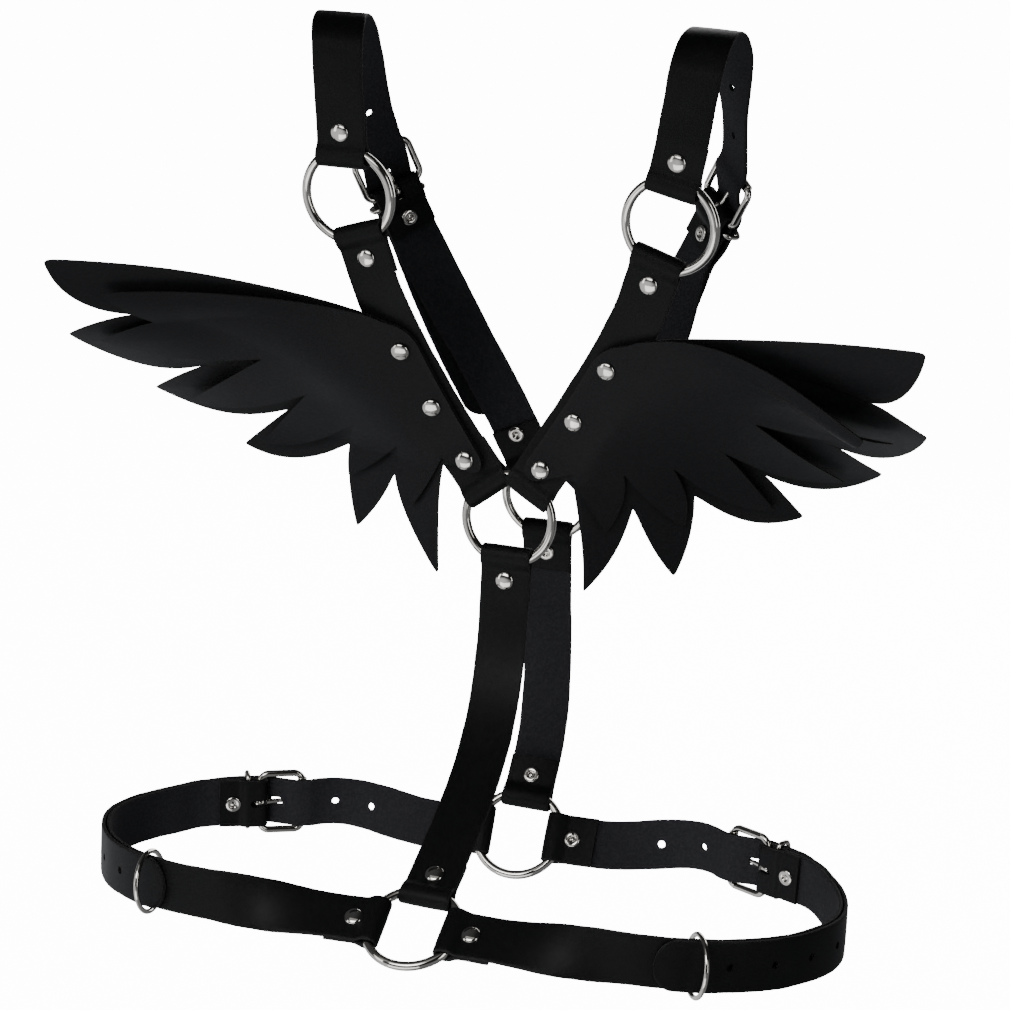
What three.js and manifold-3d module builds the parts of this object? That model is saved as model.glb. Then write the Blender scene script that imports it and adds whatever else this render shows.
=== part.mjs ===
// Angel wing harness: leather straps joined by rings, with a pair of two-layer leather wings.
// Millimetres, +Z up. The origin is where the harness sits on the shoulders, midway between the
// undersides of the two shoulder straps. -Y is the winged back, +Y the chest, +X the wearer's right.
import * as THREE from 'three';
import { mergeVertices } from 'three/addons/utils/BufferGeometryUtils.js';
import ManifoldModule from 'manifold-3d';

const kernel = await ManifoldModule();
kernel.setup();

// Driving dimensions
const STRAP_WIDTH = 25;
const LEATHER = 2.0;
const WING_LEATHER = 1.8;
const GAP = 0.3;
const RING_RADIUS = 22.25;
const RING_WIRE = 2.25;
const KEEPER_RADIUS = 14.6;
const KEEPER_WIRE = 1.25;
const RIVET_CAP_RADIUS = 4.5;
const RIVET_CAP_HEIGHT = 1.7;
const RIVET_BACK_RADIUS = 4.2;
const RIVET_BACK_HEIGHT = 1.1;
const RIVET_SHANK = 1.5;
const RIVET_CLEARANCE = 0.35;
const RIVET_SEAT = 0.35;
const BUCKLE_LENGTH = 22;
const BUCKLE_WIDTH = 31;
const BUCKLE_WIRE = 1.6;
const BUCKLE_CORNER = 4;
const ROLLER_RADIUS = 2.4;
const ROLLER_LENGTH = 26;
const PRONG_WIDTH = 2.8;
const PRONG_HALF = 1.1;
const HOLE_RADIUS = 2.0;
const HOLE_PITCH = 24;

// How a strap folds round a wire: where its two layers close, its rivet and the end of its tab
const RING_SLACK = 0.55;
const HEEL_SLACK = 0.2;
const FOLD_OPEN = 4.2;
const FOLD_CLOSED = 7.8;
const TAB_LENGTH = 22.5;
const RING_RIVET = 12.8;
const HEEL_TAB = 19;
const CLOSED_OFFSET = (LEATHER + GAP) / 2;
const BUCKLE_RIVET = 11.5;

// Rings: centre, and lean of the outward face above the horizon in degrees; face -1 is the back, 1 the chest
const RINGS = {
  shoulder: { x: 79, y: -17, z: -85, face: -1, lean: -8 },
  back: { x: 1, y: 13, z: -244, face: -1, lean: 0 },
  chest: { x: 2, y: 88.5, z: -251, face: 1, lean: 10 },
  waist_back: { x: -1, y: -114, z: -411, face: -1, lean: 54 },
  waist_front: { x: 0, y: 56.5, z: -419.5, face: 1, lean: -46 },
};

// Crest of a shoulder strap, from its ring over the shoulder down to the buckle
const SHOULDER_ROUTE = [
  { x: 87, y: -25, z: -13 },
  { x: 89.5, y: -15, z: -2 },
  { x: 91.5, y: 2, z: 1 },
  { x: 92.5, y: 26, z: -9 },
  { x: 92, y: 42, z: -33 },
  { x: 89, y: 54, z: -59 },
];

// Heel bar of a shoulder buckle, the heading of the chest strap that it holds and the way that it faces
const SHOULDER_BUCKLE = { x: 78.5, y: 69, z: -97, heading: [-0.3, 0.33, -0.895], face: [0.5, 0.86, 0.05] };
const SHOULDER_TAIL = { length: 112, spread: 9, swing: 6 };
const SHOULDER_HOLES = [-74, -46.5, 34, 61.5, 89];
const SHOULDER_KEEPER = 24.5;

// Plan of one half of the belt, from the back ring round the side to the front ring
const BELT_ROUTE = [
  { x: 22, y: -115, z: -411 },
  { x: 58, y: -119, z: -408 },
  { x: 95, y: -118, z: -408 },
  { x: 133, y: -105, z: -411 },
  { x: 167, y: -75, z: -415 },
  { x: 184, y: -32, z: -418 },
  { x: 174.5, y: 10, z: -419 },
  { x: 144, y: 41, z: -418 },
  { x: 100, y: 58, z: -417 },
  { x: 58, y: 61, z: -417 },
  { x: 22, y: 58.5, z: -419 },
];
const BELT_HEEL_X = 137;
const BELT_TAIL_X = 119;

// Feathers of a wing from the top one down, seen from behind: tip, the notch below it, how far the
// upper and lower edges bow outwards, and how far the tip curls away from the body
const REAR_FEATHERS = [
  { tip: [212, -120], notch: [181.5, -153], upper: 3.3, lower: 10, curl: 20 },
  { tip: [211.5, -163], notch: [160.5, -184.5], upper: 2, lower: 10, curl: 20 },
  { tip: [183.5, -195.5], notch: [122.5, -207.5], upper: 1, lower: 8.5, curl: 20 },
  { tip: [144.5, -226], notch: [89, -221], upper: 0.3, lower: 8, curl: 20 },
  { tip: [82.5, -261.5], notch: [61.5, -229], upper: 2.5, lower: 2, curl: 0 },
  { tip: [37.5, -276.5], notch: [33, -216], upper: 3.5, lower: -1.5, curl: -18 },
];
const FRONT_FEATHERS = [
  { tip: [188, -136], notch: [171, -156], upper: 5.5, lower: 1.5, curl: 20 },
  { tip: [197, -166], notch: [123, -174.5], upper: 1, lower: 5, curl: 20 },
  { tip: [167, -201], notch: [106, -194], upper: 0.5, lower: 5, curl: 20 },
  { tip: [132, -221.5], notch: [80.5, -204.5], upper: 0.3, lower: 6, curl: 20 },
  { tip: [86.5, -235], notch: [58, -212], upper: 3, lower: 2, curl: 2 },
  { tip: [50, -241], notch: [33.5, -214.5], upper: 3, lower: 1, curl: -5 },
];
const CURL_REACH = 45;
const FRONT_SPREAD = 4.5;
const WING_TOP = { x: 66, z: -143 };
const WING_MIDDLE_Z = -186;
const WING_TWIST = { slope: 0.38, rise: 38, shift: -7 };
const WING_SWELL = { depth: 9.5, from: 24, to: 74 };
const WING_RIVETS_Z = [-158, -187];
const WING_ROOT_MARGIN = 8;
const WING_FLAT = 20;
const WING_LINE = { high: -142, low: -220 };

const LEATHER_LOOK = { color: 0x141416, roughness: 0.55, metalness: 0.0 };
const METAL_LOOK = { color: 0xcfccc6, roughness: 0.16, metalness: 1.0 };

// Vector helpers
const vec = (x, y, z) => new THREE.Vector3(x, y, z);
const cross = (a, b) => new THREE.Vector3().crossVectors(a, b);
const along = (base, ...steps) => {
  const sum = base.clone();
  for (const [direction, distance] of steps) sum.addScaledVector(direction, distance);
  return sum;
};
const square = (direction, axis) =>
  direction.clone().addScaledVector(axis, -direction.dot(axis)).normalize();
const ease = (value, from, to) => THREE.MathUtils.smoothstep(value, from, to);
const mix = THREE.MathUtils.lerp;

// Solids for cutting and joining
function toSolid(geometry) {
  const bare = new THREE.BufferGeometry();
  const source = geometry.index ? geometry.toNonIndexed() : geometry;
  bare.setAttribute('position', source.getAttribute('position').clone());
  const merged = mergeVertices(bare, 1e-4);
  return new kernel.Manifold(
    new kernel.Mesh({
      numProp: 3,
      vertProperties: merged.attributes.position.array,
      triVerts: new Uint32Array(merged.index.array),
    }),
  );
}

function toGeometry(solid) {
  const mesh = solid.getMesh();
  const geometry = new THREE.BufferGeometry();
  geometry.setAttribute('position', new THREE.BufferAttribute(new Float32Array(mesh.vertProperties), 3));
  geometry.setIndex(new THREE.BufferAttribute(new Uint32Array(mesh.triVerts), 1));
  geometry.computeVertexNormals();
  return geometry;
}

const cut = (geometry, tools) =>
  toGeometry(tools.reduce((solid, tool) => solid.subtract(toSolid(tool)), toSolid(geometry)));

const join = (first, second) => toGeometry(toSolid(first).add(toSolid(second)));

// A matrix that carries local x, y and z to a heading, the side and the outward face at a place
function placed(place, heading, face) {
  const x = heading.clone().normalize();
  const z = square(face, x);
  return new THREE.Matrix4().makeBasis(x, cross(z, x), z).setPosition(place);
}

// Skins a closed body over rows of section corners, each row listed in the same order
function skin(rows) {
  const corners = rows[0].length;
  const positions = rows.flat().flatMap((p) => [p.x, p.y, p.z]);
  const index = [];
  for (let i = 0; i + 1 < rows.length; i += 1) {
    for (let j = 0; j < corners; j += 1) {
      const k = (j + 1) % corners;
      const [a, b, c, d] = [i * corners + j, (i + 1) * corners + j, (i + 1) * corners + k, i * corners + k];
      index.push(a, b, c, a, c, d);
    }
  }
  const last = (rows.length - 1) * corners;
  for (let j = 1; j + 1 < corners; j += 1) {
    index.push(0, j, j + 1);
    index.push(last, last + j + 1, last + j);
  }
  const geometry = new THREE.BufferGeometry();
  geometry.setAttribute('position', new THREE.Float32BufferAttribute(positions, 3));
  geometry.setIndex(index);
  return geometry;
}

// A strap from its sections: each has a place, the direction across the strap and its half width
function strapFrames(sections) {
  return sections.map((section, i) => {
    const before = sections[Math.max(i - 1, 0)].place;
    const after = sections[Math.min(i + 1, sections.length - 1)].place;
    const heading = after.clone().sub(before).normalize();
    const across = square(section.across, heading);
    return { ...section, heading, across, face: cross(across, heading) };
  });
}

function strapBody(frames) {
  const rows = frames.map(({ place, across, face, half }) => [
    along(place, [across, -half], [face, -LEATHER / 2]),
    along(place, [across, half], [face, -LEATHER / 2]),
    along(place, [across, half], [face, LEATHER / 2]),
    along(place, [across, -half], [face, LEATHER / 2]),
  ]);
  return skin(rows);
}

// The end of a strap folded round a wire, from the tab's end to where the two layers close.
// Seat is the wire's place under the strap's edges, heading points away from the wire.
function foldSections(seat, heading, face, wire, half, open, closed, tab) {
  const bend = wire + GAP + LEATHER / 2;
  const across = cross(heading, face);
  const at = (out, off) => ({ place: along(seat, [heading, out], [face, off]), across, half });
  const turn = [-90, -45, 0, 45, 90].map((degrees) => {
    const angle = THREE.MathUtils.degToRad(degrees);
    return at(-bend * Math.cos(angle), bend * Math.sin(angle));
  });
  return [
    at(tab, -CLOSED_OFFSET),
    at(closed, -CLOSED_OFFSET),
    at(open, -bend),
    ...turn,
    at(open, bend),
    at(closed, CLOSED_OFFSET),
    at(tab, CLOSED_OFFSET),
  ];
}

const reversed = (sections) =>
  [...sections].reverse().map((section) => ({ ...section, across: section.across.clone().negate() }));

function ringFrame(name, side = 0) {
  const { x, y, z, face, lean } = RINGS[name];
  const tilt = THREE.MathUtils.degToRad(lean);
  const outward = vec(0, face * Math.cos(tilt), Math.sin(tilt));
  const right = vec(1, 0, 0);
  const up = vec(0, -face * Math.sin(tilt), Math.cos(tilt));
  return { place: vec(side === 0 ? x : side * x, y, z), outward, right, up };
}

// A strap's end on a ring, at an angle from straight up towards the wearer's right
function ringEnd(ring, degrees, half = STRAP_WIDTH / 2, rivetAt = RING_RIVET) {
  const angle = THREE.MathUtils.degToRad(degrees);
  const heading = along(vec(0, 0, 0), [ring.up, Math.cos(angle)], [ring.right, Math.sin(angle)]);
  const seat = along(ring.place, [heading, Math.sqrt(RING_RADIUS ** 2 - half ** 2)]);
  const sections = foldSections(seat, heading, ring.outward, RING_WIRE + RING_SLACK, half, FOLD_OPEN, FOLD_CLOSED, TAB_LENGTH);
  const rivet = { place: along(seat, [heading, rivetAt]), axis: ring.outward, layers: 2 * LEATHER + GAP };
  return { sections, heading, seat, rivet, exit: sections[sections.length - 1] };
}

// A strap's end on a buckle's heel bar
function heelEnd(buckle) {
  const { place, heading, face } = buckle;
  const sections = foldSections(place, heading, face, BUCKLE_WIRE + HEEL_SLACK, STRAP_WIDTH / 2, 2.6, 6.4, HEEL_TAB);
  const rivet = { place: along(place, [heading, BUCKLE_RIVET]), axis: face, layers: 2 * LEATHER + GAP };
  return { sections, heading, seat: place, rivet, exit: sections[sections.length - 1] };
}

// The free run of a strap between two folded ends
function runSections(start, end, steps, pull = 0.33) {
  const from = start.exit.place;
  const to = end.exit.place;
  const reach = from.distanceTo(to) * pull;
  const curve = new THREE.CubicBezierCurve3(
    from,
    along(from, [start.heading, reach]),
    along(to, [end.heading, reach]),
    to,
  );
  const first = start.exit.across;
  const last = end.exit.across.clone().negate();
  const run = [];
  for (let i = 1; i < steps; i += 1) {
    const t = i / steps;
    const blend = ease(t, 0, 1);
    run.push({
      place: curve.getPointAt(t),
      across: first.clone().lerp(last, blend).normalize(),
      half: mix(start.exit.half, end.exit.half, ease(t, 0.7, 1)),
    });
  }
  return run;
}

// Post that cuts a round hole through a strap
function post(place, axis, radius, length, sides = 6) {
  const tool = new THREE.CylinderGeometry(radius, radius, length, sides);
  const turn = new THREE.Quaternion().setFromUnitVectors(vec(0, 1, 0), axis.clone().normalize());
  return tool.applyQuaternion(turn).translate(place.x, place.y, place.z);
}

const rivetPost = (rivet) =>
  post(rivet.place, rivet.axis, (RIVET_SHANK + RIVET_CLEARANCE) * Math.SQRT2, 14, 4);

// A rivet: domed cap outside, flat collar inside, and the shank between them
function rivetBody({ place, axis, layers }) {
  const top = layers / 2 + RIVET_SEAT;
  const bottom = -layers / 2 - RIVET_SEAT;
  const profile = [
    [0, bottom - RIVET_BACK_HEIGHT],
    [RIVET_BACK_RADIUS, bottom],
    [RIVET_SHANK, bottom],
    [RIVET_SHANK, top],
    [RIVET_CAP_RADIUS, top],
    [0, top + RIVET_CAP_HEIGHT],
  ].map(([radius, height]) => new THREE.Vector2(radius, height));
  const turn = new THREE.Quaternion().setFromUnitVectors(vec(0, 1, 0), axis.clone().normalize());
  return new THREE.LatheGeometry(profile, 8).applyQuaternion(turn).translate(place.x, place.y, place.z);
}

function ringBody(ring) {
  const matrix = placed(ring.place, ring.right, ring.outward);
  return new THREE.TorusGeometry(RING_RADIUS, RING_WIRE, 5, 18).applyMatrix4(matrix);
}

function keeperBody(place, heading, face) {
  const turned = new THREE.TorusGeometry(KEEPER_RADIUS, KEEPER_WIRE, 5, 12).rotateY(Math.PI / 2);
  return turned.applyMatrix4(placed(place, heading, face));
}

// A roller buckle: local x runs from the heel bar towards its own strap, the roller is at -x
function buckleBody({ place, heading, face }) {
  const half = BUCKLE_WIDTH / 2;
  const c = BUCKLE_CORNER;
  const far = -BUCKLE_LENGTH;
  const corner = [
    [0, half - c], [-c * 0.3, half - c * 0.3], [-c, half],
    [far + c, half], [far + c * 0.3, half - c * 0.3], [far, half - c],
  ];
  const outline = [...corner, ...[...corner].reverse().map(([x, y]) => [x, -y])];
  const wire = 6;
  const rows = outline.map(([x, y], i) => {
    const [beforeX, beforeY] = outline[(i + outline.length - 1) % outline.length];
    const [nextX, nextY] = outline[(i + 1) % outline.length];
    const tangent = vec(nextX - x, nextY - y, 0).normalize().add(vec(x - beforeX, y - beforeY, 0).normalize());
    tangent.normalize();
    const normal = vec(tangent.y, -tangent.x, 0);
    return Array.from({ length: wire }, (_, k) => {
      const angle = (k / wire) * 2 * Math.PI;
      return along(vec(x, y, 0), [normal, BUCKLE_WIRE * Math.cos(angle)], [vec(0, 0, 1), BUCKLE_WIRE * Math.sin(angle)]);
    });
  });
  const frame = closedTube(rows);
  const roller = new THREE.CylinderGeometry(ROLLER_RADIUS, ROLLER_RADIUS, ROLLER_LENGTH, 8).translate(far, 0, 0);
  return join(frame, roller).applyMatrix4(placed(place, heading, face));
}

// Skins a closed loop of wire sections
function closedTube(rows) {
  const corners = rows[0].length;
  const positions = rows.flat().flatMap((p) => [p.x, p.y, p.z]);
  const index = [];
  rows.forEach((_, i) => {
    const next = (i + 1) % rows.length;
    for (let j = 0; j < corners; j += 1) {
      const k = (j + 1) % corners;
      const [a, b, c, d] = [i * corners + j, next * corners + j, next * corners + k, i * corners + k];
      index.push(a, b, c, a, c, d);
    }
  });
  const geometry = new THREE.BufferGeometry();
  geometry.setAttribute('position', new THREE.Float32BufferAttribute(positions, 3));
  geometry.setIndex(index);
  return geometry;
}

// The prong's slope from the heel bar up onto the roller, in the buckle's own plane
const PRONG_RISE = (ROLLER_RADIUS + GAP + PRONG_HALF) / BUCKLE_LENGTH;

// A prong: an eye round the heel bar and a flat finger that rests on the roller
function prongBody({ place, heading, face }) {
  const inner = BUCKLE_WIRE + GAP;
  const outer = inner + 1.4;
  const reach = -BUCKLE_LENGTH - 3.4;
  const line = (x, off) => new THREE.Vector2(x, -PRONG_RISE * x + off);
  const start = -outer + 0.5;
  const shape = new THREE.Shape();
  shape.moveTo(reach, line(reach, -PRONG_HALF * 0.6).y);
  shape.lineTo(start, line(start, -PRONG_HALF).y);
  for (let k = 0; k <= 8; k += 1) {
    const angle = Math.PI * 1.16 + (k / 8) * Math.PI * 1.6;
    shape.lineTo(outer * Math.cos(angle), outer * Math.sin(angle));
  }
  shape.lineTo(start, line(start, PRONG_HALF).y);
  shape.lineTo(reach, line(reach, PRONG_HALF * 0.6).y);
  shape.closePath();
  const eye = new THREE.Path();
  eye.absarc(0, 0, inner, 0, 2 * Math.PI, true);
  shape.holes.push(eye);
  const flat = new THREE.ExtrudeGeometry(shape, { depth: PRONG_WIDTH, bevelEnabled: false, curveSegments: 4 });
  flat.translate(0, 0, -PRONG_WIDTH / 2).rotateX(Math.PI / 2);
  return flat.applyMatrix4(placed(place, heading, face));
}

// Tools that clear the prong: a slot in the heel fold, and the used hole in the strap that is held
function prongSlot({ place, heading, face }) {
  const slot = new THREE.BoxGeometry(11, PRONG_WIDTH + 0.8, 13).translate(-1.2, 0, 0);
  return slot.applyMatrix4(placed(place, heading, face));
}

function prongHole({ place, heading, face }) {
  const tool = new THREE.BoxGeometry(24, PRONG_WIDTH + 0.8, 2 * PRONG_HALF + 0.8);
  tool.rotateY(Math.atan(PRONG_RISE)).translate(-13, 0, 13 * PRONG_RISE);
  return tool.applyMatrix4(placed(place, heading, face));
}

// How far outside its line a held strap runs, by the distance past the heel bar
const UNDER_ROLLER = -(ROLLER_RADIUS + GAP + LEATHER / 2);
const OVER_HEEL = Math.max(
  BUCKLE_WIRE + HEEL_SLACK + GAP + LEATHER + GAP + LEATHER / 2,
  CLOSED_OFFSET + LEATHER / 2 + RIVET_CAP_HEIGHT + 3 * GAP + LEATHER / 2,
);
const TAIL_OFFSET = CLOSED_OFFSET + LEATHER + 2 * GAP;
const HELD_OFFSETS = [
  { past: -40, off: CLOSED_OFFSET },
  { past: -34, off: CLOSED_OFFSET },
  { past: -26, off: UNDER_ROLLER },
  { past: -19.5, off: UNDER_ROLLER },
  { past: -2.5, off: OVER_HEEL },
  { past: 17.5, off: OVER_HEEL },
  { past: 27, off: TAIL_OFFSET },
];
function heldOffset(past) {
  const rows = HELD_OFFSETS;
  if (past <= rows[0].past) return rows[0].off;
  for (let i = 1; i < rows.length; i += 1) {
    const [a, b] = [rows[i - 1], rows[i]];
    if (past <= b.past) return mix(a.off, b.off, (past - a.past) / (b.past - a.past));
  }
  return TAIL_OFFSET;
}

// The rounded end of a tail: how the half width falls off over the last millimetres
const TIP_STEPS = [
  { back: 9, part: 1 },
  { back: 4, part: 0.86 },
  { back: 1.2, part: 0.58 },
  { back: 0, part: 0.3 },
];

const group = new THREE.Group();
group.name = 'angel_wing_harness';

function addMesh(name, geometry, look) {
  const mesh = new THREE.Mesh(geometry, new THREE.MeshStandardMaterial(look));
  mesh.name = name;
  group.add(mesh);
}

const addLeather = (name, geometry) => addMesh(name, geometry, LEATHER_LOOK);
const addMetal = (name, geometry) => addMesh(name, geometry, METAL_LOOK);
const addRivet = (name, rivet) => addMetal(`rivet_${name}`, rivetBody(rivet));

// A strap between two folded ends, with its rivets and any further cuts
function addLink(name, start, end, steps, cuts = [], pull = 0.33) {
  const run = runSections(start, end, steps, pull);
  const frames = strapFrames([...start.sections, ...run, ...reversed(end.sections)]);
  const tools = [rivetPost(start.rivet), rivetPost(end.rivet), ...cuts];
  addLeather(name, cut(strapBody(frames), tools));
  return frames;
}

const frameAt = (frames, height) => {
  const i = frames.findIndex((f, k) => k > 0 && (frames[k - 1].place.z - height) * (f.place.z - height) <= 0
    && f.half > 10 && k > 11);
  const [a, b] = [frames[i - 1], frames[i]];
  const t = (height - a.place.z) / (b.place.z - a.place.z);
  return {
    place: a.place.clone().lerp(b.place, t),
    face: a.face.clone().lerp(b.face, t).normalize(),
    heading: a.heading.clone().lerp(b.heading, t).normalize(),
  };
};

// Wings

// Points along a feather edge from one corner to the next, bowed to one side
function bowed(from, to, bow, steps) {
  const [dx, dz] = [to[0] - from[0], to[1] - from[1]];
  const length = Math.hypot(dx, dz);
  const [nx, nz] = [dz / length, -dx / length];
  return Array.from({ length: steps }, (_, i) => {
    const t = (i + 1) / steps;
    const swell = 4 * bow * t * (1 - t) * -1;
    return [from[0] + dx * t + nx * swell, from[1] + dz * t + nz * swell];
  });
}

// Outline of a wing layer from the top of its root round the feathers, with the line of notches inside it
function wingOutline(feathers, top) {
  const outline = [{ point: top, inner: top, curl: 0 }];
  let corner = top;
  let inside = top;
  feathers.forEach(({ tip, notch, upper, lower, curl }, row) => {
    const pulled = row === feathers.length - 1 ? notch : [notch[0] * 0.86 + 5, notch[1] + 2];
    const edges = [...bowed(corner, tip, upper, row === 0 ? 3 : 1), ...bowed(tip, notch, lower, 3)];
    edges.forEach((point, i) => {
      const t = (i + 1) / edges.length;
      outline.push({ point, inner: [mix(inside[0], pulled[0], t), mix(inside[1], pulled[1], t)], curl });
    });
    corner = notch;
    inside = pulled;
  });
  return outline;
}

function addWing(sideName, side, layer, feathers, strap, depth, spread, rivets) {
  const line = (z) => frameAt(strap, THREE.MathUtils.clamp(z, WING_LINE.low, WING_LINE.high)).place;
  const slope = line(WING_LINE.high).sub(line(WING_LINE.high - 20)).divideScalar(20);
  const run = line(WING_LINE.high).sub(line(WING_LINE.low));
  const skew = (side * run.x * run.z) / (run.x ** 2 + run.z ** 2);
  const beyond = (z) => Math.max(z - WING_LINE.high, 0);
  const lineX = (z) => side * (line(z).x + beyond(z) * slope.x);
  const lineY = (z) => line(z).y + beyond(z) * slope.y;
  const surface = (x, z, off) => {
    const out = x - lineX(z);
    const reach = out < 13 ? 0 : out < 27 ? (out - 13) ** 2 / 28 : out - 20;
    const twist = WING_TWIST.slope * Math.tanh((z - WING_MIDDLE_Z + WING_TWIST.shift) / WING_TWIST.rise);
    const foot = z + skew * Math.min(out, WING_FLAT);
    const swell = WING_SWELL.depth * ease(out, WING_SWELL.from, WING_SWELL.to);
    return vec(side * x, lineY(foot) + swell - reach * twist - spread * ease(out, 8, 45) - off, z);
  };
  const outline = wingOutline(feathers, [WING_TOP.x, WING_TOP.z]);
  const end = outline.length - 1;
  const rootTop = -147;
  const rootBottom = -219;
  const rows = outline.map(({ point, inner, curl }, i) => {
    const t = i / end;
    const rootZ = mix(rootTop, rootBottom, t);
    const round = 5 * (ease(t, 0.9, 1) + ease(0.06 - t, 0, 0.06));
    const root = [lineX(rootZ) - WING_ROOT_MARGIN + round, rootZ];
    const share = Math.min(0.6, WING_FLAT / Math.abs(inner[0] - root[0]));
    const edge = [mix(root[0], inner[0], share), mix(root[1], inner[1], share)];
    const lift = curl * ease(Math.hypot(point[0] - inner[0], point[1] - inner[1]), 0, CURL_REACH);
    return [[...root, 0], [...edge, 0], [...inner, 0], [...point, lift]];
  });
  const near = depth + WING_LEATHER;
  const sections = rows.map((row) => {
    const far = row.map(([x, z, lift]) => surface(x, z, depth + lift));
    const close = row.map(([x, z, lift]) => surface(x, z, near + lift)).reverse();
    return side > 0 ? [...far, ...close].reverse() : [...far, ...close];
  });
  addLeather(`wing_${layer}_${sideName}`, cut(skin(sections), rivets.map(rivetPost)));
}

// The two sides
const backRing = ringFrame('back');
const chestRing = ringFrame('chest');
const waistBackRing = ringFrame('waist_back');
const waistFrontRing = ringFrame('waist_front');
addMetal('ring_back', ringBody(backRing));
addMetal('ring_chest', ringBody(chestRing));
addMetal('ring_waist_back', ringBody(waistBackRing));
addMetal('ring_waist_front', ringBody(waistFrontRing));

// Spine and sternum straps
const spineTop = ringEnd(backRing, 180);
const spineLow = ringEnd(waistBackRing, 0);
addLink('strap_spine', spineTop, spineLow, 9, [], 0.42);
addRivet('spine_top', spineTop.rivet);
addRivet('spine_low', spineLow.rivet);
const sternumTop = ringEnd(chestRing, 180);
const sternumLow = ringEnd(waistFrontRing, 0);
addLink('strap_sternum', sternumTop, sternumLow, 8, [], 0.32);
addRivet('sternum_top', sternumTop.rivet);
addRivet('sternum_low', sternumLow.rivet);

const NARROW_HALF = 10.5;
const WING_FOLD_ANGLE = 37;

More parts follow.
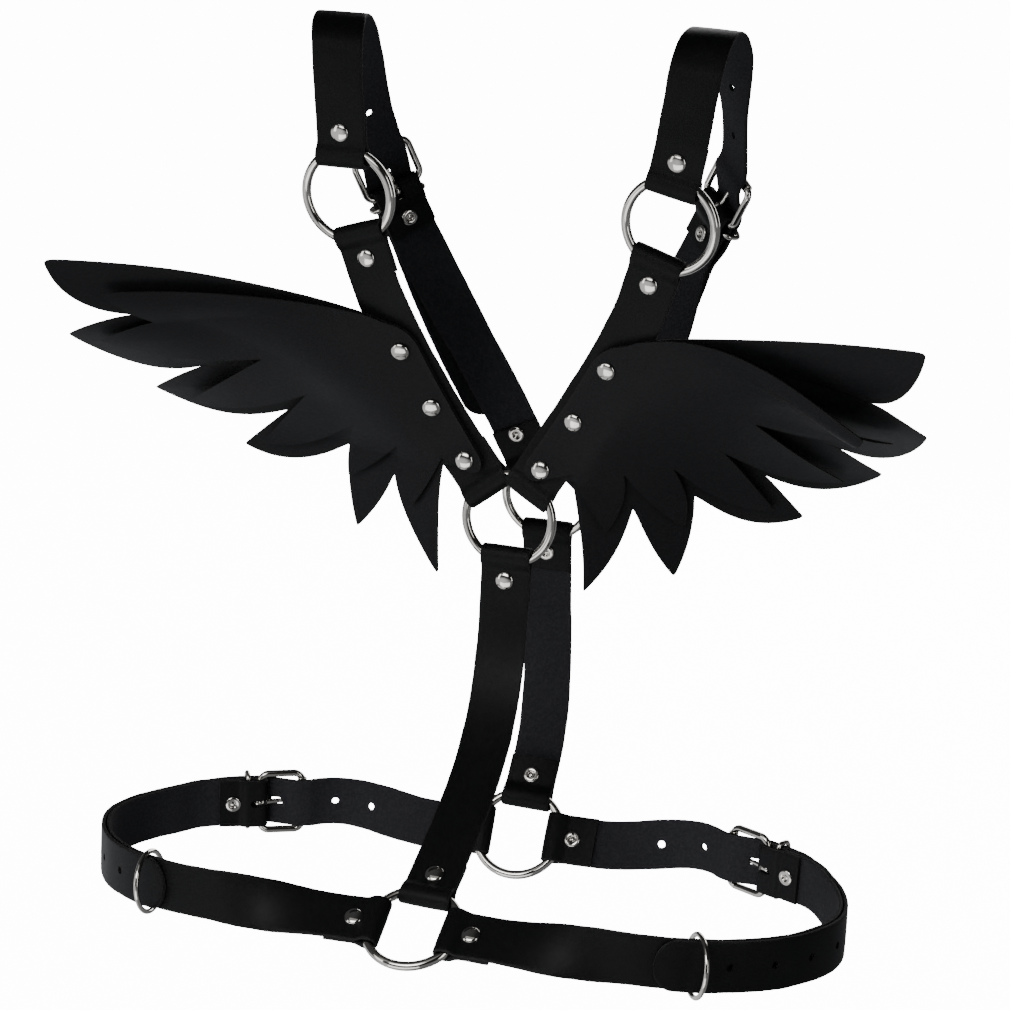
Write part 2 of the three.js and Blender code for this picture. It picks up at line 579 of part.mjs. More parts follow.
for (const [sideName, side] of [['left', -1], ['right', 1]]) {
  // Shoulder ring and wing strap
  const shoulderRing = ringFrame('shoulder', side);
  addMetal(`ring_shoulder_${sideName}`, ringBody(shoulderRing));
  const wingTop = ringEnd(shoulderRing, side * -162);
  const wingLow = ringEnd(backRing, side * WING_FOLD_ANGLE, NARROW_HALF, 17);
  const wingRun = runSections(wingTop, wingLow, 6);
  const wingFrames = strapFrames([...wingTop.sections, ...wingRun, ...reversed(wingLow.sections)]);
  const rearDepth = LEATHER / 2 + 0.7;
  const frontDepth = rearDepth + WING_LEATHER + 0.4;
  const stack = frontDepth + WING_LEATHER - LEATHER / 2 + 0.05;
  const wingRivets = WING_RIVETS_Z.map((height) => {
    const spot = frameAt(wingFrames, height);
    return { place: along(spot.place, [spot.face, stack / 2]), axis: spot.face, layers: LEATHER + stack };
  });
  wingRivets.push({
    place: along(wingLow.rivet.place, [wingLow.rivet.axis, stack / 2]),
    axis: wingLow.rivet.axis,
    layers: 2 * LEATHER + GAP + stack,
  });
  const wingPosts = [rivetPost(wingTop.rivet), ...wingRivets.map(rivetPost)];
  addLeather(`strap_wing_${sideName}`, cut(strapBody(wingFrames), wingPosts));
  addRivet(`wing_strap_${sideName}`, wingTop.rivet);
  wingRivets.forEach((rivet, i) => addRivet(`wing_${sideName}_${i + 1}`, rivet));
  addWing(sideName, side, 'rear', REAR_FEATHERS, wingFrames, rearDepth, 0, wingRivets);
  addWing(sideName, side, 'front', FRONT_FEATHERS, wingFrames, frontDepth, FRONT_SPREAD, wingRivets);

  // Shoulder buckle, chest strap and keeper
  const { x, y, z, heading, face } = SHOULDER_BUCKLE;
  const chestHeading = vec(side * heading[0], heading[1], heading[2]).normalize();
  const shoulderBuckle = {
    place: vec(side * x, y, z),
    heading: chestHeading,
    face: square(vec(side * face[0], face[1], face[2]), chestHeading),
  };
  addMetal(`buckle_shoulder_${sideName}`, buckleBody(shoulderBuckle));
  addMetal(`prong_shoulder_${sideName}`, prongBody(shoulderBuckle));
  const chestTop = heelEnd(shoulderBuckle);
  const chestLow = ringEnd(chestRing, side * WING_FOLD_ANGLE, NARROW_HALF, 17);
  const chestFrames = addLink(`strap_chest_${sideName}`, chestTop, chestLow, 6, [prongSlot(shoulderBuckle)]);
  addRivet(`chest_top_${sideName}`, chestTop.rivet);
  addRivet(`chest_low_${sideName}`, chestLow.rivet);

  // Shoulder strap: from the ring over the shoulder, through the buckle, and hanging as a tail
  const shoulderEnd = ringEnd(shoulderRing, side * 6);
  const { place: heel, face: buckleFace } = shoulderBuckle;
  const routePoints = [
    shoulderEnd.exit.place,
    along(shoulderEnd.exit.place, [shoulderEnd.heading, 12]),
    ...SHOULDER_ROUTE.map((p) => vec(side * p.x, p.y, p.z)),
  ];
  const through = [-26, -19.5, -8, -2.5, 8, 17.5, 27].map((past) =>
    along(heel, [chestHeading, past], [buckleFace, heldOffset(past)]));
  const chestAt = (past) => {
    const run = chestFrames.filter((f) => f.place.distanceTo(heel) > 20 && f.face.y > 0.5);
    let walked = run[0].place.distanceTo(heel);
    for (let i = 1; i < run.length; i += 1) {
      const step = run[i].place.distanceTo(run[i - 1].place);
      if (walked + step >= past) {
        return { ...run[i], place: run[i - 1].place.clone().lerp(run[i].place, (past - walked) / step) };
      }
      walked += step;
    }
    return run[run.length - 1];
  };
  const tailLength = SHOULDER_TAIL.length;
  const tailAt = (past) => {
    const spot = chestAt(past);
    const away = ease(past, 27, tailLength);
    const off = TAIL_OFFSET - CLOSED_OFFSET + SHOULDER_TAIL.spread * away;
    return along(spot.place, [spot.face, off], [vec(side, 0, 0), SHOULDER_TAIL.swing * away]);
  };
  const shoulderCurve = new THREE.CatmullRomCurve3(routePoints, false, 'centripetal');
  const lateral = shoulderEnd.exit.across;
  const lateralHeel = cross(chestHeading, buckleFace);
  const shoulderSections = [...shoulderEnd.sections];
  const archSteps = 13;
  for (let i = 1; i <= archSteps; i += 1) {
    const t = i / archSteps;
    const blend = ease(t, 0.3, 1);
    shoulderSections.push({
      place: shoulderCurve.getPointAt(t),
      across: lateral.clone().lerp(lateralHeel, blend).normalize(),
      half: STRAP_WIDTH / 2,
    });
  }
  for (const place of through) shoulderSections.push({ place, across: lateralHeel, half: STRAP_WIDTH / 2 });
  const tailStops = [45, 65, 85];
  const tipStops = TIP_STEPS.map(({ back }) => tailLength - back);
  [...tailStops, ...tipStops].forEach((past, i) => {
    const part = i < tailStops.length ? 1 : TIP_STEPS[i - tailStops.length].part;
    shoulderSections.push({ place: tailAt(past), across: lateralHeel, half: (part * STRAP_WIDTH) / 2 });
  });
  const shoulderFrames = strapFrames(shoulderSections);
  const shoulderHoles = [rivetPost(shoulderEnd.rivet), prongHole(shoulderBuckle)];
  for (const past of SHOULDER_HOLES) {
    const target = past < 0
      ? shoulderFrames.reduce((best, f) => {
        const gap = Math.abs(f.place.distanceTo(heel) + past);
        return f.place.y > 20 && f.place.z > heel.z && gap < best.gap ? { ...f, gap } : best;
      }, { gap: 1e9 })
      : shoulderFrames.reduce((best, f) => {
        const gap = Math.abs(f.place.distanceTo(heel) - past);
        return f.place.z < heel.z && gap < best.gap ? { ...f, gap } : best;
      }, { gap: 1e9 });
    shoulderHoles.push(post(target.place, target.face, HOLE_RADIUS, 4));
  }
  addLeather(`strap_shoulder_${sideName}`, cut(strapBody(shoulderFrames), shoulderHoles));
  addRivet(`shoulder_${sideName}`, shoulderEnd.rivet);
  const keeperSpot = along(heel, [chestHeading, SHOULDER_KEEPER], [buckleFace, (CLOSED_OFFSET + TAIL_OFFSET) / 2]);
  addMetal(`keeper_shoulder_${sideName}`, keeperBody(keeperSpot, chestHeading, buckleFace));

  // Belt: the back half holds the buckle, the front half passes through it and runs on as a tail
  const beltPoints = BELT_ROUTE.map((p) => vec(side * p.x, p.y, p.z));
  const beltCurve = new THREE.CatmullRomCurve3(beltPoints, false, 'centripetal');
  beltCurve.arcLengthDivisions = 800;
  const beltLength = beltCurve.getLength();
  const beltAt = (distance) => {
    const u = THREE.MathUtils.clamp(distance / beltLength, 0, 1);
    const place = beltCurve.getPointAt(u);
    const tangent = beltCurve.getTangentAt(u);
    const face = square(vec(side * tangent.y, -side * tangent.x, 0), tangent);
    return { place, tangent, face };
  };
  const distanceWhere = (test) => {
    let distance = 0;
    while (distance < beltLength && !test(beltAt(distance).place)) distance += 0.25;
    return distance;
  };
  const heelDistance = distanceWhere((p) => p.y > 20 && side * p.x < BELT_HEEL_X);
  const tailDistance = distanceWhere((p) => p.y < -60 && side * p.x > BELT_TAIL_X);
  const heelSpot = beltAt(heelDistance);
  const waistBuckle = {
    place: heelSpot.place,
    heading: heelSpot.tangent.clone().negate(),
    face: heelSpot.face,
  };
  addMetal(`buckle_waist_${sideName}`, buckleBody(waistBuckle));
  addMetal(`prong_waist_${sideName}`, prongBody(waistBuckle));
  const backEnd = ringEnd(waistBackRing, side * 94);
  const heelFold = heelEnd(waistBuckle);
  const backSections = [...backEnd.sections];
  const startAcross = backEnd.exit.across;
  const settle = 40;
  const firstStop = 28;
  const tailEnd = heelDistance - tailDistance;
  const sideSteps = 10;
  const sidePasts = Array.from({ length: sideSteps }, (_, i) => mix(30, tailEnd - 9, i / (sideSteps - 1)));
  const backPasts = Array.from({ length: 4 }, (_, i) => mix(heelDistance - firstStop, tailEnd + 12, i / 3));
  const beltLine = (past, off) => {
    const spot = beltAt(heelDistance - past);
    const straight = along(waistBuckle.place, [waistBuckle.heading, past], [waistBuckle.face, off]);
    const curved = along(spot.place, [spot.face, off]);
    const bend = past > 0 ? ease(past, 16, 48) : ease(-past, 24, 40);
    return straight.lerp(curved, bend);
  };
  for (const past of [...backPasts, ...[...sidePasts].reverse()]) {
    const distance = heelDistance - past;
    const spot = beltAt(distance);
    const across = cross(spot.tangent, spot.face);
    const blend = ease(distance, 0, settle + firstStop);
    backSections.push({
      place: beltLine(past, CLOSED_OFFSET),
      across: startAcross.clone().lerp(across, blend).normalize(),
      half: STRAP_WIDTH / 2,
    });
  }
  backSections.push(...reversed(heelFold.sections));
  const backTools = [rivetPost(backEnd.rivet), rivetPost(heelFold.rivet), prongSlot(waistBuckle)];
  addLeather(`belt_back_${sideName}`, cut(strapBody(strapFrames(backSections)), backTools));
  addRivet(`belt_back_${sideName}`, backEnd.rivet);
  addRivet(`belt_heel_${sideName}`, heelFold.rivet);

  const frontEnd = ringEnd(waistFrontRing, side * 94);
  const frontSections = [...frontEnd.sections];
  const heldAt = (past) => beltLine(past, heldOffset(past));
  const frontStart = beltLength - 28 - heelDistance;
  const stops = [];
  for (let i = 0; i < 4; i += 1) stops.push(mix(-frontStart, -36, i / 3));
  stops.push(-26, -19.5, -8, -2.5, 8, 17.5, ...sidePasts.slice(0, -1));
  const tips = TIP_STEPS.map(({ back, part }) => ({ past: tailEnd - back, part }));
  const frontAcross = frontEnd.exit.across;
  const frontStops = [...stops.map((past) => ({ past, part: 1 })), ...tips];
  for (const { past, part } of frontStops) {
    const spot = beltAt(heelDistance - past);
    const across = cross(spot.tangent.clone().negate(), spot.face);
    const blend = ease(past, -frontStart - 20, -frontStart + settle);
    frontSections.push({
      place: heldAt(past),
      across: frontAcross.clone().lerp(across, blend).normalize(),
      half: (part * STRAP_WIDTH) / 2,
    });
  }
  const frontFrames = strapFrames(frontSections);
  const frontTools = [rivetPost(frontEnd.rivet), prongHole(waistBuckle)];
  for (const step of [-3, -2, -1, 3, 4, 5, 6]) {
    const past = -9.5 + step * HOLE_PITCH;
    const spot = beltAt(heelDistance - past);
    frontTools.push(post(heldAt(past), spot.face, HOLE_RADIUS, 7));
  }
  addLeather(`belt_front_${sideName}`, cut(strapBody(frontFrames), frontTools));
  addRivet(`belt_front_${sideName}`, frontEnd.rivet);
  const keeperPlace = (past) => {
    const spot = beltAt(heelDistance - past);
    return { spot, place: beltLine(past, (CLOSED_OFFSET + TAIL_OFFSET) / 2) };
  };
  const buckleKeeper = keeperPlace(29);
  const tailKeeper = keeperPlace(tailEnd - 20);
  addMetal(`keeper_buckle_${sideName}`, keeperBody(buckleKeeper.place, buckleKeeper.spot.tangent, buckleKeeper.spot.face));
  addMetal(`keeper_tail_${sideName}`, keeperBody(tailKeeper.place, tailKeeper.spot.tangent, tailKeeper.spot.face));
}

export default group;
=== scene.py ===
"""Looks of an angel wing harness: leather straps, two-layer leather wings and nickel hardware.

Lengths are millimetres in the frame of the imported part, and become metres when a mesh is made.
-Y is the winged back, +Y the chest, +X the wearer's right and +Z up.
"""

import logging
import math
from dataclasses import dataclass, field
from enum import Enum

import bmesh
import bpy
import numpy as np
from mathutils import Matrix, Vector


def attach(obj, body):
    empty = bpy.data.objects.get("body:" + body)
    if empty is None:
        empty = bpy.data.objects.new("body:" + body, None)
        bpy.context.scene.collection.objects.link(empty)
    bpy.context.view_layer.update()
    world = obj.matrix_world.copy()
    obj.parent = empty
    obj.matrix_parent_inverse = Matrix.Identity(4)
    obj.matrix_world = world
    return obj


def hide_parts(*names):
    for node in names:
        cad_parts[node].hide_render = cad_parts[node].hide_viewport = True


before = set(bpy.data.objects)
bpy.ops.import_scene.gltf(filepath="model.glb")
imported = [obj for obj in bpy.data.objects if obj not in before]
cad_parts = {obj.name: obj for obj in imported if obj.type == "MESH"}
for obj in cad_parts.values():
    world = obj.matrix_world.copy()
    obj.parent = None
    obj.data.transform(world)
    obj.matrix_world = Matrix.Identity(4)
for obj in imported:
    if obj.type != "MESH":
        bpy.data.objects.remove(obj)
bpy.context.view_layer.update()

LOG = logging.getLogger("harness")
Array = np.ndarray
MM = 0.001
BODY = "root"

# Sizes shared by the pieces
STRAP_WIDTH = 25.0
LEATHER = 2.0
WING_LEATHER = 1.8
GAP = 0.3
RING_RADIUS = 22.25
RING_WIRE = 2.25
RING_SLACK = 0.35
KEEPER_RADIUS = 14.6
KEEPER_WIRE = 1.25
BUCKLE_LENGTH = 22.0
BUCKLE_WIDTH = 31.0
BUCKLE_WIRE = 1.8
ROLLER_RADIUS = 2.4
HOLE_RADIUS = 1.9
TAB_LENGTH = 22.5
HEEL_TAB = 21.5
RING_RIVET = 12.8
HEEL_RIVET = 14.5
KEEPER_SEAT = 6.4
FOLD_REACH = 5.2
FOLD_RAMP = 3.0
CLOSED_OFFSET = (LEATHER + GAP) / 2
TAIL_OFFSET = CLOSED_OFFSET + LEATHER + 2 * GAP
UNDER_ROLLER = -(ROLLER_RADIUS + GAP + LEATHER / 2)
OVER_HEEL = 5.75
PRONG_HALF = 1.1
PRONG_RISE = (ROLLER_RADIUS + GAP + PRONG_HALF) / BUCKLE_LENGTH
USED_HOLE = -9.5
USED_HALF = 1.5
SLOT_BEFORE = 3.0
SLOT_AFTER = 13.0
SLOT_RADIUS = 2.0
DOUBLE = 2 * LEATHER + GAP

# Folds of a mesh sharper than this, in degrees, keep a hard edge
SHARP_ANGLE = 48.0


class Side(Enum):
    """The wearer's two sides, with the sign of X on each."""

    LEFT = -1
    RIGHT = 1

    @property
    def label(self) -> str:
        """Lower-case name as used in the nodes' names."""
        return self.name.lower()


class Slot(Enum):
    """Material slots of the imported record."""

    STRAP = "strap_leather"
    WING = "wing_leather"
    METAL = "hardware"


# Vectors and curves


def vec(x: float, y: float, z: float) -> Array:
    """A point or direction as an array."""
    return np.array([x, y, z], float)


def unit(v: Array) -> Array:
    """Vectors of length one along the last axis."""
    return v / np.maximum(np.linalg.norm(v, axis=-1, keepdims=True), 1e-12)


def squared(v: Array, axis: Array) -> Array:
    """Directions with their part along an axis taken out, at length one."""
    return unit(v - np.sum(v * axis, axis=-1, keepdims=True) * axis)


def ease(x: Array | float, low: float, high: float) -> Array:
    """Smooth step from 0 at low to 1 at high."""
    t = np.clip((np.asarray(x, float) - low) / (high - low), 0.0, 1.0)
    return t * t * (3 - 2 * t)


def walked(points: Array) -> Array:
    """Distance along a line of points, from 0 at its first."""
    steps = np.linalg.norm(np.diff(points, axis=0), axis=1)
    return np.concatenate([[0.0], np.cumsum(steps)])


def at_distance(points: Array, stations: Array, where: Array) -> Array:
    """Values of each column of points at distances along their stations, by straight interpolation.

    Args:
        points: rows of values.
        stations: the distance of each row.
        where: the distances wanted.

    Returns:
        A row of values for each distance.
    """
    where = np.asarray(where, float)
    columns = [np.interp(where.ravel(), stations, points[:, k]) for k in range(points.shape[1])]
    return np.stack(columns, axis=-1).reshape(*where.shape, points.shape[1])


def blurred(values: Array, sigma: float) -> Array:
    """A line of rows smoothed by a Gaussian of sigma rows, with its two ends held.

    Args:
        values: the rows.
        sigma: width of the Gaussian in rows.

    Returns:
        As many smoothed rows.
    """
    reach = int(math.ceil(3 * sigma))
    weights = np.exp(-0.5 * (np.arange(-reach, reach + 1) / sigma) ** 2)
    weights /= weights.sum()
    first = 2 * values[:1] - values[reach:0:-1]
    last = 2 * values[-1:] - values[-2 : -reach - 2 : -1]
    padded = np.concatenate([first, values, last])
    columns = [np.convolve(padded[:, k], weights, "valid") for k in range(values.shape[1])]
    return np.stack(columns, axis=-1)


def spline(points: Array, per_span: int = 40) -> Array:
    """Smooth line through points: cubic Hermite spans with centripetal knots.

    Args:
        points: the points to pass through, in order.
        per_span: samples of each span.

    Returns:
        The samples along the whole line.
    """
    gaps = np.linalg.norm(np.diff(points, axis=0), axis=1) ** 0.5
    knots = np.concatenate([[0.0], np.cumsum(gaps)])[:, None]
    slopes = np.gradient(points, knots[:, 0], axis=0)
    t = np.linspace(0, 1, per_span, endpoint=False)[None, :, None]
    p, q = points[:-1, None], points[1:, None]
    span = np.diff(knots, axis=0)[:, None]
    m, n = slopes[:-1, None] * span, slopes[1:, None] * span
    spans = (
        (2 * t**3 - 3 * t**2 + 1) * p
        + (t**3 - 2 * t**2 + t) * m
        + (-2 * t**3 + 3 * t**2) * q
        + (t**3 - t**2) * n
    )
    return np.concatenate([spans.reshape(-1, points.shape[1]), points[-1:]])


def wobble(x: Array, seed: float, pitch: float) -> Array:
    """Slow irregular wave of about -1 to 1: a sum of three sines whose lengths share no period."""
    a = x / pitch + seed
    return (np.sin(6.28 * a) + 0.6 * np.sin(10.7 * a + 1.3 * seed) + 0.4 * np.sin(17.9 * a + 2.1 * seed)) / 2


# Meshes


def mesh_object(
    name: str, points: Array, faces: list, marks: dict[str, Array] | None = None
) -> bpy.types.Object:
    """Makes an object from arrays, with outward faces, smooth shading and sharp folds kept.

    Args:
        name: the object's name.
        points: vertices in millimetres.
        faces: lists of vertex numbers.
        marks: a value per vertex for each named attribute.

    Returns:
        The new object, linked to the scene.
    """
    mesh = bpy.data.meshes.new(name)
    mesh.from_pydata((points * MM).tolist(), [], faces)
    for key, values in (marks or {}).items():
        attribute = mesh.attributes.new(key, "FLOAT", "POINT")
        attribute.data.foreach_set("value", np.asarray(values, np.float32))
    work = bmesh.new()
    work.from_mesh(mesh)
    loose = [v for v in work.verts if not v.link_faces]
    bmesh.ops.delete(work, geom=loose, context="VERTS")
    bmesh.ops.recalc_face_normals(work, faces=work.faces)
    work.to_mesh(mesh)
    work.free()
    mesh.shade_smooth()
    mesh.set_sharp_from_angle(angle=math.radians(SHARP_ANGLE))
    piece = bpy.data.objects.new(name, mesh)
    bpy.context.scene.collection.objects.link(piece)
    return piece


def grid_faces(rows: int, columns: int, loop_rows: bool = False, loop_columns: bool = False) -> Array:
    """Quads of a grid numbered row by row, joined end to end where a direction loops.

    Args:
        rows: points down the grid.
        columns: points across it.
        loop_rows: whether the last row joins the first.
        loop_columns: whether the last column joins the first.

    Returns:
        Four vertex numbers for each quad.
    """
    i = np.arange(rows if loop_rows else rows - 1)[:, None]
    j = np.arange(columns if loop_columns else columns - 1)[None, :]
    below, right = (i + 1) % rows, (j + 1) % columns
    corners = [i * columns + j, below * columns + j, below * columns + right, i * columns + right]
    return np.stack([np.broadcast_to(c, (i.size, j.size)) for c in corners], axis=-1).reshape(-1, 4)


def revolved(profile: Array, place: Array, axis: Array, turns: int) -> tuple[Array, list]:
    """A profile of radius and height turned about an axis; its first and last points lie on the axis.

    Args:
        profile: rows of radius and height.
        place: the axis's origin.
        axis: the direction of height.
        turns: points round the axis.

    Returns:
        Vertices and faces of the closed shell.
    """
    axis = unit(axis)
    aside = vec(1, 0, 0) if abs(axis[0]) < 0.8 else vec(0, 1, 0)
    x = squared(aside, axis)
    y = np.cross(axis, x)
    angle = np.linspace(0, 2 * math.pi, turns, endpoint=False)
    spokes = np.cos(angle)[:, None] * x + np.sin(angle)[:, None] * y
    body = profile[1:-1]
    rings = place + body[:, None, :1] * spokes[None] + body[:, None, 1:] * axis
    poles = np.stack([place + profile[0, 1] * axis, place + profile[-1, 1] * axis])
    points = np.concatenate([rings.reshape(-1, 3), poles])
    quads = grid_faces(len(body), turns, loop_columns=True)
    k = np.arange(turns)
    after = (k + 1) % turns
    base = (len(body) - 1) * turns
    first = np.stack([k, np.full(turns, len(points) - 2), after], axis=-1)
    last = np.stack([base + k, base + after, np.full(turns, len(points) - 1)], axis=-1)
    return points, quads.tolist() + first.tolist() + last.tolist()


def swept(
    centres: Array, sides: Array, tops: Array, width: Array, height: Array, around: int
) -> tuple[Array, list]:
    """An oval section carried along a line and closed by its own ends.

    Args:
        centres: the line.
        sides: the section's width direction at each point.
        tops: the section's height direction at each point.
        width: half widths.
        height: half heights.
        around: points round the section.

    Returns:
        Vertices and faces of the closed tube.
    """
    angle = np.linspace(0, 2 * math.pi, around, endpoint=False)[None, :, None]
    points = (
        centres[:, None]
        + np.cos(angle) * (sides * width[:, None])[:, None]
        + np.sin(angle) * (tops * height[:, None])[:, None]
    )
    quads = grid_faces(len(centres), around, loop_columns=True).tolist()
    last = (len(centres) - 1) * around
    caps = [list(range(around)), list(range(last, last + around))]
    return points.reshape(-1, 3), quads + caps


def looped(centres: Array, normals: Array, radius: float, around: int) -> tuple[Array, list]:
    """A round wire carried along a closed line.

    Args:
        centres: the closed line's points.
        normals: the direction of the line's plane normal.
        radius: the wire's radius.
        around: points round the wire.

    Returns:
        Vertices and faces of the closed tube.
    """
    heading = unit(np.roll(centres, -1, axis=0) - np.roll(centres, 1, axis=0))
    outward = np.cross(heading, normals)
    angle = np.linspace(0, 2 * math.pi, around, endpoint=False)[None, :, None]
    points = centres[:, None] + radius * (np.cos(angle) * outward[:, None] + np.sin(angle) * normals)
    faces = grid_faces(len(centres), around, loop_rows=True, loop_columns=True)
    return points.reshape(-1, 3), faces.tolist()


def merged(*shells: tuple[Array, list]) -> tuple[Array, list]:
    """Several shells as one set of vertices and faces.

    Args:
        shells: vertices and faces of each.

    Returns:
        Vertices and faces of all.
    """
    points, faces, base = [], [], 0
    for shell_points, shell_faces in shells:
        points.append(shell_points)
        faces += [[k + base for k in face] for face in shell_faces]
        base += len(shell_points)
    return np.concatenate(points), faces


# Shader nodes


class Value:
    """A socket that takes part in arithmetic: each operator adds one Math node."""

    def __init__(self, nodes: "Tree", socket: bpy.types.NodeSocket) -> None:
        """Wraps an output socket of a node tree."""
        self.nodes = nodes
        self.socket = socket

    def _math(self, operation: str, first: "Value | float", second: "Value | float") -> "Value":
        """A Math node of two inputs."""
        node = self.nodes.add("ShaderNodeMath", {"operation": operation}, {0: first, 1: second})
        return Value(self.nodes, node.outputs[0])

    def __add__(self, other: "Value | float") -> "Value":
        """Sum."""
        return self._math("ADD", self, other)

    __radd__ = __add__

    def __sub__(self, other: "Value | float") -> "Value":
        """Difference."""
        return self._math("SUBTRACT", self, other)

    def __rsub__(self, other: float) -> "Value":
        """Difference with the value on the right."""
        return self._math("SUBTRACT", other, self)

    def __mul__(self, other: "Value | float") -> "Value":
        """Product."""
        return self._math("MULTIPLY", self, other)

    __rmul__ = __mul__

    def band(self, low: float, high: float, first: float = 0.0, last: float = 1.0) -> "Value":
        """Smooth step between two values.

        Args:
            low: where it starts.
            high: where it ends.
            first: the value up to its start.
            last: the value from its end.

        Returns:
            The stepped value.
        """
        settings = {"interpolation_type": "SMOOTHSTEP"}
        inputs = {"Value": self, "From Min": low, "From Max": high, "To Min": first, "To Max": last}
        node = self.nodes.add("ShaderNodeMapRange", settings, inputs)
        return Value(self.nodes, node.outputs["Result"])


class Tree:
    """A node tree, with one method that adds any node."""

    def __init__(self, tree: bpy.types.NodeTree) -> None:
        """Wraps a node tree."""
        self.tree = tree

    def add(self, kind: str, settings: dict, inputs: dict) -> bpy.types.Node:
        """Adds a node.

        Args:
            kind: the node's type.
            settings: properties to set first.
            inputs: values or links by socket name or number.

        Returns:
            The node.
        """
        node = self.tree.nodes.new(kind)
        for key, value in settings.items():
            setattr(node, key, value)
        for key, value in inputs.items():
            self.feed(node.inputs[key], value)
        return node

    def feed(self, socket: bpy.types.NodeSocket, value: object) -> None:
        """Links or sets one socket.

        Args:
            socket: the socket.
            value: what it links to, or its constant.
        """
        if isinstance(value, Value):
            self.tree.links.new(value.socket, socket)
        elif isinstance(value, bpy.types.NodeSocket):
            self.tree.links.new(value, socket)
        else:
            socket.default_value = value


class Nodes(Tree):
    """A material's node tree, with the patterns that the finishes share."""

    def __init__(self, name: str) -> None:
        """Makes an empty material of that name, with its output and surface shader."""
        self.material = bpy.data.materials.new(name)
        self.material.use_nodes = True
        super().__init__(self.material.node_tree)
        self.tree.nodes.clear()
        self.surface = self.add("ShaderNodeBsdfPrincipled", {}, {})
        self.add("ShaderNodeOutputMaterial", {}, {"Surface": self.surface.outputs[0]})

    def mark(self, name: str) -> Value:
        """A mesh attribute as a value."""
        node = self.add("ShaderNodeAttribute", {"attribute_name": name}, {})
        return Value(self, node.outputs["Fac"])

    def noise(self, scale: float, detail: float, stretch: tuple = (1, 1, 1), rough: float = 0.5) -> Value:
        """Noise on the object's own coordinates, scaled per metre and stretched along the axes.

        Args:
            scale: waves per metre.
            detail: octaves.
            stretch: factor on each axis.
            rough: share of the finer octaves.

        Returns:
            The noise, from 0 to 1.
        """
        place = self.add("ShaderNodeTexCoord", {}, {}).outputs["Object"]
        mapped = self.add("ShaderNodeMapping", {}, {"Vector": place, "Scale": stretch}).outputs[0]
        inputs = {"Vector": mapped, "Scale": scale, "Detail": detail, "Roughness": rough}
        node = self.add("ShaderNodeTexNoise", {}, inputs)
        return Value(self, node.outputs["Fac"])

    def cells(self, scale: float) -> Value:
        """Distance to the edges of irregular cells on the object's own coordinates.

        Args:
            scale: cells per metre.

        Returns:
            The distance as a share of a cell.
        """
        place = self.add("ShaderNodeTexCoord", {}, {}).outputs["Object"]
        settings = {"feature": "DISTANCE_TO_EDGE"}
        node = self.add("ShaderNodeTexVoronoi", settings, {"Vector": place, "Scale": scale})
        return Value(self, node.outputs["Distance"])

    def mixed(self, factor: Value | float, first: object, second: object) -> bpy.types.NodeSocket:
        """Two colours mixed by a factor."""
        node = self.add("ShaderNodeMix", {"data_type": "RGBA"}, {0: factor, 6: first, 7: second})
        return node.outputs[2]

    def bump(self, height: Value, strength: float, distance: float) -> bpy.types.NodeSocket:
        """A normal from a height."""
        inputs = {"Height": height, "Strength": strength, "Distance": distance}
        return self.add("ShaderNodeBump", {}, inputs).outputs[0]

    def finish(self, inputs: dict) -> bpy.types.Material:
        """Feeds the surface shader's sockets and returns the material.

        Args:
            inputs: values or links by socket name.

        Returns:
            The material.
        """
        for key, value in inputs.items():
            self.feed(self.surface.inputs[key], value)
        return self.material


@dataclass(frozen=True)
class LeatherFinish:
    """Black coated leather: fine grain outside, mottled split suede inside and fuzzy cut edges."""

    name: str
    grain_colour: tuple = (0.0066, 0.0066, 0.0070, 1)
    worn_colour: tuple = (0.0100, 0.0100, 0.0107, 1)
    suede_colour: tuple = (0.0175, 0.0175, 0.020, 1)
    suede_light: tuple = (0.0245, 0.0245, 0.0275, 1)
    rim_colour: tuple = (0.022, 0.0215, 0.0215, 1)
    gloss: float = 0.43
    cell_scale: float = 1050.0
    fibre_scale: float = 900.0

    def material(self) -> bpy.types.Material:
        """Builds the material: three looks joined by the marks flesh, rim and fold of the mesh.

        Returns:
            The material.
        """
        n = Nodes(self.name)
        flesh, rim, fold = n.mark("flesh"), n.mark("rim"), n.mark("fold")
        cloud = n.noise(14, 4)
        patch = n.noise(60, 5)
        fine = n.noise(self.fibre_scale, 4)
        fibre = n.noise(800, 6, rough=0.65)
        crease = n.noise(95, 5, rough=0.6)
        pores = n.cells(self.cell_scale).band(0.0, 0.22)
        worn = (cloud.band(0.42, 0.75) * 0.55 + patch.band(0.5, 0.8) * 0.35 + fold * 0.35).band(0.1, 1.0)
        outside = n.mixed(worn, self.grain_colour, self.worn_colour)
        mottle = (fibre.band(0.36, 0.68) * 0.75 + cloud.band(0.35, 0.7) * 0.25).band(0.0, 1.0)
        inside = n.mixed(mottle, self.suede_colour, self.suede_light)
        face = n.mixed(flesh, outside, inside)
        colour = n.mixed(rim * (0.55 + fine * 0.5), face, self.rim_colour)
        smooth = self.gloss + (patch - 0.5) * 0.16 + (fine - 0.5) * 0.10 + fold * 0.06
        roughness = smooth + flesh * (0.80 - self.gloss) + rim * 0.25
        outer_height = pores * 0.35 + fine * 0.35 + patch * 0.5 + crease * fold * 1.6
        inner_height = fibre * 2.2 + fine * 0.9
        height = outer_height + flesh * (inner_height - outer_height) + rim * fine * 1.6
        return n.finish(
            {
                "Base Color": colour,
                "Roughness": roughness,
                "Specular IOR Level": 0.075,
                "Normal": n.bump(height, 0.32, 0.00022),
            }
        )


